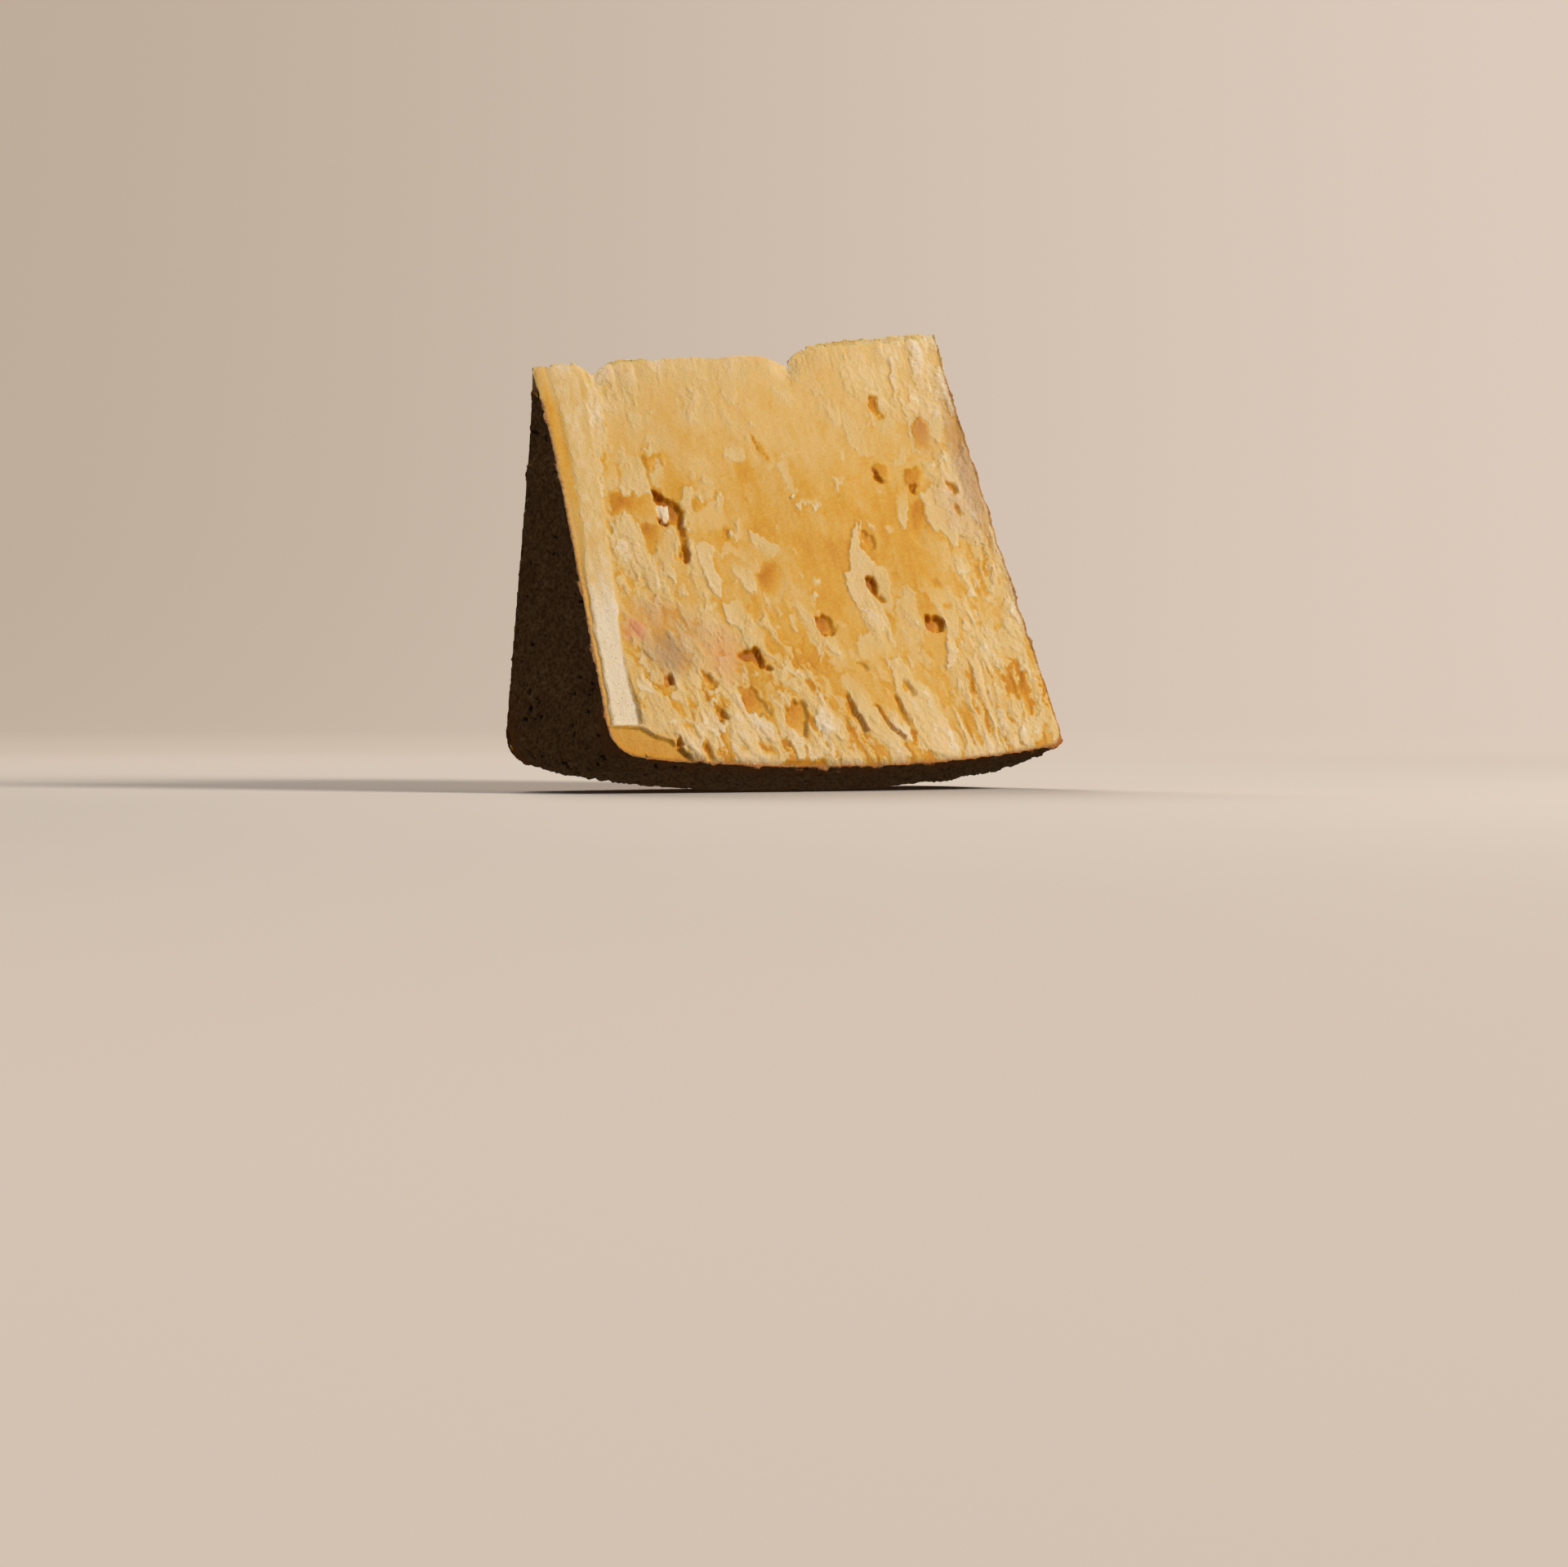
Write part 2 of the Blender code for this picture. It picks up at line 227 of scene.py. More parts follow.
    (0.8, 0.9, 0, [51, 34, 53, 38, 55, 36, 55.5, 28, 54, 20, 52, 22, 52, 28]),
    (0.7, 0.8, 0, [46, 29, 49.5, 30, 49.5, 25.5, 51.5, 21.5, 49, 19.5, 47, 23]),
]

# Hollows of the front face. Each is: tone (-1 is deep orange), depth in mm, and its outline
FRONT_HOLLOWS = [
    (-0.7, 2.6, [-35.3, 78, -34.8, 81, -33.5, 81, -32, 79.5, -30, 78.8, -28.8, 76.5, -27.3, 74, -28.3, 68,
     -28.5, 64, -29.5, 60, -31, 58.8, -32.5, 60.5, -31.5, 63, -30.8, 66, -30.8, 70.5, -32, 72, -33.5, 71,
     -34.5, 70.3, -35.8, 72, -35.3, 74]),
    (-1.15, 3.6, [-35.2, 78, -34.8, 81, -33.7, 81, -32.2, 79, -33.2, 77.6]),
    (-1.25, 3.6, [-35.8, 72.3, -35.3, 74, -32.5, 73, -33.5, 71, -34.5, 70.3]),
    (-0.42, 1.1, [-49.5, 74, -48, 77.5, -45.5, 80, -42, 78.9, -35.5, 79.8, -35.2, 74, -37, 71.5, -40.5, 71,
     -42, 73, -45, 75, -48, 73.5]),
    (-0.5, 1.7, [-40.8, 70.5, -38.5, 72, -36.5, 70, -37.5, 66, -37.5, 63, -39, 61.3, -40.7, 62.5]),
    (-0.4, 0.7, [-34.8, 90.5, -33, 91, -29, 91.5, -28, 90, -29.5, 88.8, -31, 90.6, -33, 89.8, -34, 87,
     -34.8, 87.5]),
    (-0.32, 1.1, [-10.5, 52, -10.5, 57, -7, 60, -3.5, 60, -2, 56, -3, 52, -5, 48.5, -8, 48.5]),
    (-0.3, 0.9, [-14.5, 50, -12.5, 49.5, -11.5, 46, -13.5, 42, -15.5, 41, -15.5, 45]),
    (-0.8, 2.1, [-22.5, 32.3, -20, 34, -17, 35, -16, 33, -14.5, 29, -15, 27, -16.5, 28, -18, 30.8,
     -20.5, 30.5]),
    (-0.5, 1.4, [-24.5, 19, -23, 23, -20.5, 25, -19.5, 20, -17, 17.5, -17.5, 15.5, -20.5, 15, -23.5, 16]),
    (-0.35, 1.2, [-13.5, 13, -12.5, 16.5, -10.5, 19, -7.5, 19, -7, 14, -8.5, 10.5, -10, 8, -11.5, 8.5]),
    (-0.8, 1.8, [-46, 26.5, -44.5, 27.5, -43, 25.7, -44.3, 23.8, -46, 23.8]),
    (-0.6, 1.4, [-34, 16.5, -33, 19, -31.8, 17, -30.5, 15, -30.8, 13.3, -32.5, 13, -34, 14.5]),
    (-0.6, 1.2, [-34, 26, -33.5, 28, -32.6, 28.3, -32, 25, -30.3, 24, -31.5, 22.5, -34, 22.7]),
    (-0.42, 0.9, [34, 85, 34, 89.5, 36, 92, 38.5, 90.5, 38, 87, 36, 84.5]),
    (-1.0, 2.2, [33.6, 86, 34.2, 89.6, 35.2, 88.5, 37, 85, 35, 84.6]),
    (-0.45, 1.0, [42.8, 83, 43, 86, 44, 89.5, 48.5, 90.5, 49.3, 88, 47, 84.5, 44.5, 81.5]),
    (-1.0, 2.2, [42.7, 83, 43.5, 85.5, 46.5, 86, 47.3, 85, 44.5, 82]),
    (-0.5, 1.6, [44.5, 81, 46, 79, 46.5, 74, 44.5, 70, 43.5, 65.5, 41, 67, 40.5, 72, 42, 77]),
    (-0.7, 1.7, [37.5, 109.3, 39.5, 112.5, 41.5, 113, 41, 109.5, 42, 106, 40.5, 105.5, 39.5, 107.5]),
    (-0.85, 2.6, [21.5, 55, 22.5, 56.5, 24.5, 56.5, 25.3, 55, 25, 51.5, 26.5, 48.5, 25, 48.3, 23.5, 51.5,
     21.5, 53]),
    (-0.8, 2.5, [36.3, 43, 37.5, 44.7, 40.5, 45, 41.8, 43.5, 42, 41, 40.5, 40.2, 37.3, 40.3, 36.5, 41.5]),
    (-0.7, 1.8, [3.3, 41, 4, 44, 6, 45.3, 8.5, 43.5, 9, 41, 7.7, 38.3, 5, 38.2]),
    (-0.6, 1.3, [25, 70, 27, 70, 27.8, 67, 27.5, 65, 25.5, 65, 24.5, 67]),
    (-0.7, 1.4, [55.5, 86, 57.5, 86, 58, 83.5, 57, 81.3, 56, 83]),
    (-0.35, 0.9, [50, 103, 52, 106, 53.5, 106, 55.5, 102.5, 55, 98, 57, 95, 52, 94, 49.5, 96]),
    (-0.25, 0.6, [0, 97, 2, 94, 4, 93.5, 4.5, 90, 1.5, 88, 0, 90, 0.5, 94]),
    (-0.8, 1.2, [-1.4, 98.5, -0.6, 98, 0.2, 94, 2.6, 91, 1.8, 91, -0.4, 94]),
    (-0.5, 1.2, [42.5, 53, 42.8, 56, 44.5, 56.5, 45.8, 54.5, 45, 52.8]),
    (-0.4, 1.0, [43.5, 47.3, 45, 49, 46, 48, 45, 46.8]),
    (-0.45, 0.9, [25.8, 47, 26.8, 45, 27.2, 40, 26, 38.7, 25, 41]),
    (-0.5, 1.2, [20.3, 20, 21.5, 21, 22.5, 17, 23.3, 13, 22.5, 11.5, 21, 12.5, 20.3, 16]),
    (-0.6, 1.3, [-17.2, 66.5, -16.8, 69.5, -15, 70, -15.5, 67.5, -16, 66]),
    (-0.4, 0.8, [-23.5, 77, -22.5, 79, -21, 76.5, -20, 76.5, -20.5, 74.8, -23.5, 75.5]),
    (-0.35, 0.9, [13, 19, 14.5, 18, 17, 12, 20, 8, 19.5, 7, 16.5, 10.5, 14, 15]),
    (-0.35, 0.9, [5, 20.5, 6.5, 21, 8, 17, 8.5, 13, 9.5, 10, 8, 9.5, 6, 12, 5.2, 16]),
    (-0.6, 0.9, [-8.2, 79.8, -7.2, 79.5, -7, 78, -8, 78]),
    (-0.35, 1.0, [11.5, 32, 13, 31, 15, 28.5, 13, 28, 12, 30]),
    (-0.35, 0.8, [30, 55, 31, 58, 32.5, 56, 31.5, 50.8, 30.5, 51.5]),
    (-0.45, 1.2, [-57, 55, -55.5, 55.2, -55.2, 53, -56.4, 53]),
    (-0.75, 1.5, [-59, 40, -56.5, 39, -54.8, 38.6, -56, 37.3, -58, 37]),
    (-0.45, 0.8, [-53.2, 105.6, -51.5, 106, -50.8, 105.2, -52.8, 104.8]),
    (-0.45, 0.8, [-44.5, 101.5, -43, 101.6, -43, 100.3, -44.2, 100.5]),
    (-0.35, 0.8, [-55, 71, -53.5, 71.5, -54, 68.5, -54.8, 69]),
    (-0.35, 0.9, [41, 18, 43, 17, 44, 15, 42, 15.5]),
    (-0.45, 0.8, [44.5, 21, 45.5, 22.6, 46, 21.8, 45.2, 20.6]),
]

# Crumbs stuck in the hollows of the front face: height of the rim above the face in mm, and outline
FRONT_CRUMBS = [
    (-1.0, [-35.2, 75.5, -34.8, 77.2, -33.5, 77.7, -32.5, 78, -31, 77.3, -30.9, 75.5, -31.5, 74, -33, 73.2,
     -34.8, 73.5]),
    (0.1, [-28.6, 71, -28.2, 72.4, -27.2, 72, -27.4, 70.6]),
    (0.2, [6.0, 79, 6.6, 79.8, 7.2, 79, 6.6, 78.3]),
]

# Paste of the front face between its flakes: u, v, tone
FRONT_TONES = [
    (-55, 100, 0.55), (-46, 108, 0.5), (-36, 110, 0.4), (-25, 106, 0.28), (-20, 118, 0.35), (0, 116, 0.3),
    (12, 112, 0.22), (8, 101, 0.12), (-22, 94, 0.1), (-10, 85, -0.05), (3, 76, -0.18), (14, 65, -0.42),
    (8, 60, -0.3), (-5, 76, -0.2), (22, 80, -0.15), (14, 90, 0.08), (24, 103, 0.22), (40, 120, 0.45),
    (56, 122, 0.6), (61, 100, 0.6), (61, 80, 0.6), (60, 62, 0.35), (52, 51, 0.1), (61, 42, 0.35),
    (60, 20, 0.5), (46, 8, 0.55), (30, 10, 0.55), (10, 4, 0.6), (-10, 4, 0.6), (-30, 5, 0.45),
    (-47, 18, 0.25), (-51, 60, 0.15), (-44, 54, 0.4), (-33, 44, 0.2), (-4, 40, 0.25), (-10, 32, 0.25),
    (10, 50, -0.1), (15, 24, -0.12), (35, 27, 0.0), (24, 42, 0.2), (34, 61, -0.22), (30, 95, 0.15),
    (46, 101, 0.25), (-25, 88, -0.05), (-27, 70, 0.0), (-38, 80, -0.2), (-42, 97, 0.3), (0, 25, 0.1),
    (-22, 58, -0.12), (44, 75, -0.3), (-44, 40, 0.1),
]

# Blushed stretches of the front face: u, v, half width, half height, and how pink and how brown they are
FRONT_BLUSH = [
    (-50.0, 40.0, 3.6, 4.4, 1.0, 0.0), (-42.0, 33.0, 8.0, 8.0, 0.1, 1.0), (-27.0, 33.0, 6.5, 9.0, 0.45, 0.0),
    (-43.0, 44.0, 9.0, 6.0, 0.25, 0.25), (63.5, 90.0, 4.5, 26.0, 0.2, 0.85),
    (57.0, 78.0, 7.0, 10.0, 0.12, 0.25), (53.0, 101.0, 4.0, 8.0, 0.1, 0.4), (-35.0, 40.0, 6.0, 5.0, 0.2, 0.3),
]

# The band that a knife scored along one edge before the wheel was split, and the trimmed corner under it
SCORED_BAND = [
    (-57, 119), (-49, 119), (-47, 113), (-48, 100), (-49.5, 85), (-50.5, 75), (-52, 62), (-53.5, 47),
    (-55.5, 30), (-55.5, 12.3), (-63.2, 12.3), (-62.6, 25), (-61.6, 40), (-60.2, 58), (-58.5, 66),
    (-57.5, 76), (-56.5, 90), (-56, 105), (-57.3, 112),
]
TRIMMED_CORNER = [
    (-68, 13), (-63, 12.2), (-56, 11.5), (-52, 9), (-48.5, 8), (-45, 4.5), (-42, 1), (-44, -4),
    (-60, -4), (-70, 4),
]

# The back face: its tones and its blush; its flakes and hollows are left to chance
BACK_TONES = [
    (-55, 110, 0.45), (-20, 105, 0.15), (20, 105, 0.10), (55, 112, 0.40), (-50, 70, 0.35), (-12, 78, -0.20),
    (22, 62, -0.25), (58, 70, 0.30), (-48, 25, 0.45), (-22, 42, -0.05), (12, 28, 0.20), (40, 35, 0.05),
    (58, 20, 0.50), (0, 5, 0.60), (-35, 5, 0.60), (35, 5, 0.60),
]
BACK_BLUSH = [(34.0, 34.0, 8.0, 7.0, 0.3, 0.2), (62.0, 84.0, 5.0, 20.0, 0.15, 0.5)]

# Height of the ragged tip along the wedge: u, height above the surface (mm)
TIP_LINE = [
    (-70, 108.0), (-62, 108.6), (-57, 109.7), (-53, 110.3), (-50, 110.5), (-46, 109.5), (-43.5, 107.7),
    (-42, 108.5), (-39, 111.1), (-35, 112.3), (-25, 112.5), (-18, 112.9), (-10, 113.4), (-4, 113.9),
    (5, 114.9), (9, 114.6), (12, 113.9), (16, 112.6), (18, 114.4), (20, 116.4), (25, 118.6), (32, 119.7),
    (40, 120.8), (50, 121.9), (60, 122.9), (72, 123.0),
]


# ---------------------------------------------------------------- noise and small helpers

def smoothstep(low, high, x):
    """0 below low, 1 above high, smooth between."""
    t = np.clip((x - low) / (high - low), 0.0, 1.0)
    return t * t * (3.0 - 2.0 * t)


def with_points(rows):
    """Rows of a table, with the run of numbers that ends each paired into the points of its outline."""
    return [(*row[:-1], list(zip(row[-1][::2], row[-1][1::2]))) for row in rows]


def mixed(a, b, share):
    """a where the share is 0, b where it is 1."""
    return a + (b - a) * share


def hashed(cells, seed):
    """A random number from 0 to 1 for each cell of a lattice."""
    n = np.full(cells[0].shape, (seed * 2654435761) % 4294967296, np.uint32)
    for k, c in enumerate(cells):
        n = (n ^ c.astype(np.int64).astype(np.uint32)) * np.uint32(2246822519 + 2 * k)
        n ^= n >> np.uint32(15)
        n = n * np.uint32(3266489917)
        n ^= n >> np.uint32(13)
    return n.astype(np.float64) / 4294967295.0


def noise(coords, seed):
    """Smooth noise from -1 to 1 over points in any number of dimensions, one cell a unit."""
    base = [np.floor(c) for c in coords]
    part = [c - b for c, b in zip(coords, base)]
    part = [p * p * p * (p * (p * 6.0 - 15.0) + 10.0) for p in part]
    total = np.zeros(coords[0].shape)
    for corner in range(2 ** len(coords)):
        bits = [(corner >> k) & 1 for k in range(len(coords))]
        weight = np.ones(coords[0].shape)
        for bit, p in zip(bits, part):
            weight = weight * (p if bit else 1.0 - p)
        total += weight * hashed([b + bit for b, bit in zip(base, bits)], seed)
    return total * 2.0 - 1.0


def layered(coords, seed, octaves=4, gain=0.5):
    """Noise with finer layers added, from about -1 to 1."""
    total = 0.0
    weight = 1.0
    norm = 0.0
    for k in range(octaves):
        total = total + weight * noise([c * 2.0 ** k + 17.3 * k for c in coords], seed + 31 * k)
        norm += weight
        weight *= gain
    return total / norm * 1.6


def nearest_cells(u, v, seed):
    """Scattered points, one a unit cell: distance to the nearest, to the next, and its own random number."""
    first = np.full(u.shape, 9.0)
    second = np.full(u.shape, 9.0)
    lot = np.zeros(u.shape)
    for du in (-1, 0, 1):
        for dv in (-1, 0, 1):
            cell = [np.floor(u) + du, np.floor(v) + dv]
            point_u = cell[0] + 0.1 + 0.8 * hashed(cell, seed)
            point_v = cell[1] + 0.1 + 0.8 * hashed(cell, seed + 1)
            distance = np.hypot(u - point_u, v - point_v)
            closer = distance < first
            second = np.where(closer, first, np.minimum(second, distance))
            lot = np.where(closer, hashed(cell, seed + 2), lot)
            first = np.where(closer, distance, first)
    return first, second, lot


# ---------------------------------------------------------------- the broken faces

def map_grid():
    """The (u, v) of each cell of a height map."""
    u = np.arange(MAP_U[0], MAP_U[1], MAP_PITCH)
    v = np.arange(MAP_V[0], MAP_V[1], MAP_PITCH)
    return np.meshgrid(u, v)


def outline_depth(u, v, outline):
    """How far inside a closed outline each point lies, in mm; below 0 outside."""
    nearest = np.full(u.shape, 1e9)
    inside = np.zeros(u.shape, bool)
    for (u0, v0), (u1, v1) in zip(outline, outline[1:] + outline[:1]):
        run_u = u1 - u0
        run_v = v1 - v0
        share = ((u - u0) * run_u + (v - v0) * run_v) / (run_u ** 2 + run_v ** 2)
        share = np.clip(share, 0.0, 1.0)
        nearest = np.minimum(nearest, np.hypot(u - u0 - share * run_u, v - v0 - share * run_v))
        if v0 != v1:
            inside ^= ((v0 > v) != (v1 > v)) & (u < (v - v0) * run_u / run_v + u0)
    return np.where(inside, nearest, -nearest)


def around(outline, margin):
    """The rows and columns of a map that hold an outline and some margin in mm."""
    spans = []
    for axis, start in ((1, MAP_V[0]), (0, MAP_U[0])):
        values = [p[axis] for p in outline]
        first = int((min(values) - margin - start) / MAP_PITCH)
        last = int((max(values) + margin - start) / MAP_PITCH)
        spans.append(slice(max(first, 0), max(last, 0)))
    return tuple(spans)


def base_tone(u, v, samples):
    """The paste's tone, blended from samples over the face."""
    total = np.zeros(u.shape)
    weights = np.full(u.shape, 1e-9)
    for sample_u, sample_v, tone in samples:
        weight = np.exp(-((u - sample_u) ** 2 + 0.6 * (v - sample_v) ** 2) / 90.0)
        total += weight * tone
        weights += weight
    return total / weights


def random_outline(rng, middle, size, stretch):
    """An irregular outline about a point, longer along the grain."""
    lean = rng.uniform(-0.45, 0.05)
    points = []
    for k in range(OUTLINE_POINTS):
        angle = 2.0 * math.pi * k / OUTLINE_POINTS
        reach = size * rng.uniform(0.40, 1.30)
        dv = reach * stretch * math.sin(angle)
        points.append((middle[0] + reach * math.cos(angle) + lean * dv, middle[1] + dv))
    return points


def random_features(count, seed, sizes, tones, least_tone):
    """Flakes and a few hollows left to chance, where the paste is at least so pale."""
    rng = np.random.default_rng(seed)
    flakes = []
    hollows = []
    for k in range(count):
        middle = (rng.uniform(-52, 66), rng.uniform(1, 118))
        outline = random_outline(rng, middle, rng.uniform(*sizes), rng.uniform(1.2, 3.6))
        tone = rng.uniform(0.5, 1.25)
        lift = rng.uniform(0.5, 1.2)
        way = rng.uniform(-60, 120)
        dig = rng.uniform(0.6, 2.4)
        in_calm_top = middle[1] > 82.0 and abs(middle[0] - 2.0) < 47.0
        if in_calm_top or base_tone(np.array(middle[0]), np.array(middle[1]), tones) < least_tone:
            continue
        if k % HOLLOW_EVERY:
            flakes.append((tone, lift, way, outline))
        else:
            hollows.append((0.35 - tone, dig, outline))
    return flakes, hollows


def start_maps(seed, tones):
    """The maps of one broken face before anything is torn: its places, its tone, and how busy it is."""
    u, v = map_grid()
    face = SimpleNamespace(seed=seed, u=u, v=v)
    face.tear = layered([u / 2.0, v / 4.2], seed, 4)
    face.ragged_u = u + 0.80 * face.tear + 0.30 * noise([u / 0.8, v / 1.1], seed + 3)
    face.ragged_v = v + 1.75 * layered([u / 1.5, v / 4.0], seed + 5, 4)
    mottle = layered([face.ragged_u / 5.5, face.ragged_v / 8.0], seed + 7, 3)
    face.tone = base_tone(u, v, tones) - 0.06 + 0.20 * mottle
    calm_top = smoothstep(78.0, 92.0, v) * smoothstep(-46.0, -36.0, u) * smoothstep(64.0, 50.0, u)
    face.busy = smoothstep(-0.16, 0.45, face.tone) * (1.0 - 0.75 * calm_top)
    face.lean = u - 0.38 * (60.0 - v) * smoothstep(75.0, 25.0, v) * smoothstep(56.0, 32.0, u)
    face.low = smoothstep(44.0, 26.0, v)
    return face


def break_broadly(face):
    """The broad shape, and the facets that the paste broke along."""
    u, v, seed = face.u, face.v, face.seed
    face.height = layered([u / 46.0, v / 60.0], seed + 11, 2)
    face.height += 0.12 * layered([u / 8.0, v / 12.0], seed + 12, 3)
    first, second, lot = nearest_cells((u + 0.8 * face.tear) / 12.0, (v + face.tear) / 21.0, seed + 20)
    face.height += (lot - 0.5) * 0.4 * smoothstep(0.0, 0.12, second - first) * (0.15 + 0.85 * face.busy)


def shingles(face, width, seed, rough):
    """Overlapping scales along the grain: each is highest at its torn edge and melts away."""
    wave = layered([face.u / 13.0, face.v / 24.0], seed, 3)
    comb = face.lean / width + 0.9 * wave + rough * face.tear
    tooth = comb - np.floor(comb)
    return smoothstep(0.0, 0.07, tooth) * (1.0 - tooth) ** 1.3


def scales(face):
    """Scales along the grain, wide ones and narrow ones, and fibres near the end at +u."""
    u, v, seed = face.u, face.v, face.seed
    wide = shingles(face, 7.5, seed + 50, 0.14)
    narrow = shingles(face, 2.9, seed + 56, 0.22)
    patchy = smoothstep(-0.25, 0.45, noise([u / 10.0, v / 16.0], seed + 57))
    fibres = layered([u / 1.1, v / 9.0], seed + 58, 2) * smoothstep(46.0, 56.0, u)
    face.height += (0.26 * wide + 0.11 * narrow * patchy) * face.busy + 0.05 * fibres
    face.tone += (0.40 * wide * patchy + 0.30 * narrow * patchy - 0.18) * face.busy + 0.16 * fibres


def sheets(face):
    """Torn sheets, in two layers; near the rind they lie in strips."""
    v, seed, busy = face.v, face.seed, face.busy
    sheet = layered([(face.lean + 1.5 * face.tear) / 4.2, v / 9.0], seed + 30, 5, 0.6) + 0.55 * busy
    strips = layered([(face.lean + 1.1 * face.tear) / 5.0, v / 14.0], seed + 33, 5, 0.65) + 0.28
    sheet += (strips - sheet) * face.low
    lower = smoothstep(0.20, 0.25, sheet) * (0.45 + 0.55 * busy) * smoothstep(0.0, 0.3, busy)
    upper = smoothstep(0.58, 0.62, sheet) * (0.45 + 0.55 * busy) * smoothstep(0.0, 0.3, busy)
    face.height += 0.16 * lower + 0.15 * upper
    face.tone += 0.55 * lower + 0.35 * upper - 0.50 * busy - 0.50 * face.low * busy * (1.0 - lower)


def scraps(face):
    """Scraps of torn paste that lie about."""
    scrap = layered([face.ragged_u / 2.8, face.ragged_v / 3.6], face.seed + 40, 4)
    scrap = smoothstep(0.0, 0.07, scrap - 1.08 + 0.42 * face.busy - 0.25 * face.low)
    face.height += 0.14 * scrap
    face.tone += 0.65 * scrap


def add_flakes(face, flakes):
    """Torn flakes: each stands up at its torn edge, is paler along that edge as a painted highlight, and the
    paste is darker beside that edge as a painted shadow.
    """
    raised = np.zeros(face.u.shape)
    shade = np.zeros(face.u.shape)
    for flake_tone, lift, way, outline in flakes:
        part = around(outline, 5.0)
        inside = outline_depth(face.ragged_u[part], face.ragged_v[part], outline)
        along = (math.cos(math.radians(way)), math.sin(math.radians(way)))
        ends = [p[0] * along[0] + p[1] * along[1] for p in outline]
        share = face.u[part] * along[0] + face.v[part] * along[1] - min(ends)
        share = share / (max(ends) - min(ends))
        firm = 1.0 - np.clip(share + 0.12 * face.tear[part], 0.0, 1.0) ** 1.3
        edge = smoothstep(-0.05, 0.25, inside)
        lip = np.exp(-np.maximum(inside, 0.0) / 0.7)
        raised[part] = np.maximum(raised[part], edge * firm * lift * (0.17 + 0.10 * lip))
        cover = edge * np.clip(0.08 + 1.15 * firm, 0.0, 1.0)
        there = face.tone[part]
        # The lip term paints a highlight along the torn edge
        wanted = flake_tone - 0.10 + 0.42 * lip ** 1.6 * firm + 0.3 * (there - 0.2) * (1 - lip)
        face.tone[part] = there + (np.maximum(wanted, there) - there) * cover
        # Painted shadow: the paste just outside the torn edge is darkened
        beside = firm * np.exp(np.minimum(inside, 0.0) / 0.9) * (inside < 0.0) * min(lift, 1.2)
        shade[part] = np.maximum(shade[part] * (1.0 - cover), beside)
    face.height += raised
    face.tone -= 0.30 * shade


def dig_hollows(face, hollows):
    """Hollows and eyes: darker in their depth as painted shade, and paler on the side towards +u and the
    rind, darker on the other, as painted light and shade.
    """
    for hollow_tone, dig, outline in hollows:
        part = around(outline, 3.0)
        inside = outline_depth(face.ragged_u[part], 0.5 * (face.v[part] + face.ragged_v[part]), outline)
        bowl = smoothstep(-0.2, 0.3 + 0.30 * dig, inside)
        steep = 0.75 if hollow_tone < -0.55 else 0.35
        there = face.height[part]
        face.height[part] = there - bowl * (steep * dig + 0.8 * (there - 0.3))
        middle = np.mean(outline, axis=0)
        # Painted light and shade: paler towards +u and the rind, darker away from them and in the depth
        side = np.clip((face.u[part] - middle[0] - face.v[part] + middle[1]) / 4.0, -1.0, 1.0)
        wanted = hollow_tone + 0.12 + 0.32 * side - 0.25 * smoothstep(0.0, 2.2, inside)
        face.tone[part] = mixed(face.tone[part], wanted, smoothstep(-0.45, 0.35, inside))


def add_crumbs(face, crumbs):
    """Pale crumbs left in the hollows."""
    for rise, outline in crumbs:
        part = around(outline, 2.0)
        inside = outline_depth(face.ragged_u[part], face.ragged_v[part], outline)
        cover = smoothstep(-0.1, 0.25, inside)
        top = rise + 0.35 * np.clip(inside, 0.0, 1.2) + 0.8 * face.tear[part]
        face.height[part] = mixed(face.height[part], top, cover)
        face.tone[part] = mixed(face.tone[part], CRUMB_TONE, cover)


def scored_edge(face):
    """The smooth strip and the chalky band along one edge."""
    u, v, tear, seed = face.u, face.v, face.tear, face.seed
    band = outline_depth(u + 0.45 * tear + 0.30 * noise([u / 0.9, v / 1.5], seed + 70), v, SCORED_BAND)
    outer = [(-80, 12.3)] + SCORED_BAND[9:0:-1] + [(-80, 119)]
    beyond = np.where(u < -50.0, outline_depth(u, v, outer), -9.0)
    strip = smoothstep(-0.4, 0.4, np.maximum(beyond, band)) * smoothstep(11.9, 12.9, v)
    soft = 4.5 * smoothstep(56.0, 66.0, v) * smoothstep(-54.0, -51.0, u)
    chalky = smoothstep(-0.5 - soft, 0.6 + soft, band + 0.5 * soft * tear) * smoothstep(11.9, 12.6, v)

    dent = np.minimum(face.height, 0.0)
    flat = 0.12 * noise([u / 2.5, v / 24.0], seed + 71) - 0.6 * smoothstep(-58.5, -62.5, u) * (1.0 - chalky)
    flat = flat + 0.15 * chalky + 0.8 * np.minimum(dent + 1.0, 0.0)
    face.height = face.height * (1.0 - strip) + strip * flat

    low_band = smoothstep(66.0, 40.0, v + 3.0 * tear)
    strip_tone = -0.22 + 0.15 * noise([u / 1.2, v / 22.0], seed + 72)
    band_tone = 0.62 + 0.85 * low_band
    band_tone = band_tone + 0.35 * layered([u / 1.3, v / 2.6], seed + 73, 3) * (1.2 - low_band)
    holes = smoothstep(-0.9, -1.3, dent)
    strip_tone = mixed(strip_tone, band_tone, chalky) * (1.0 - holes) - 0.5 * holes
    face.tone = mixed(face.tone, strip_tone, strip)
    face.strip = strip


def trim_corner(face):
    """The corner that a knife trimmed, under the scored band."""
    corner = smoothstep(-0.25, 0.25, outline_depth(face.u, face.v, TRIMMED_CORNER))
    below_edge = 12.2 - 0.344 * (face.u + 63.0) - face.v
    face.height = face.height * (1.0 - corner) + corner * (0.1 - 0.17 * below_edge)
    corner_tone = 0.38 + 0.03 * np.clip(below_edge, 0.0, 9.0)
    face.tone = face.tone * (1.0 - corner) - corner_tone * corner
    face.smooth = np.maximum(corner, 0.6 * face.strip)


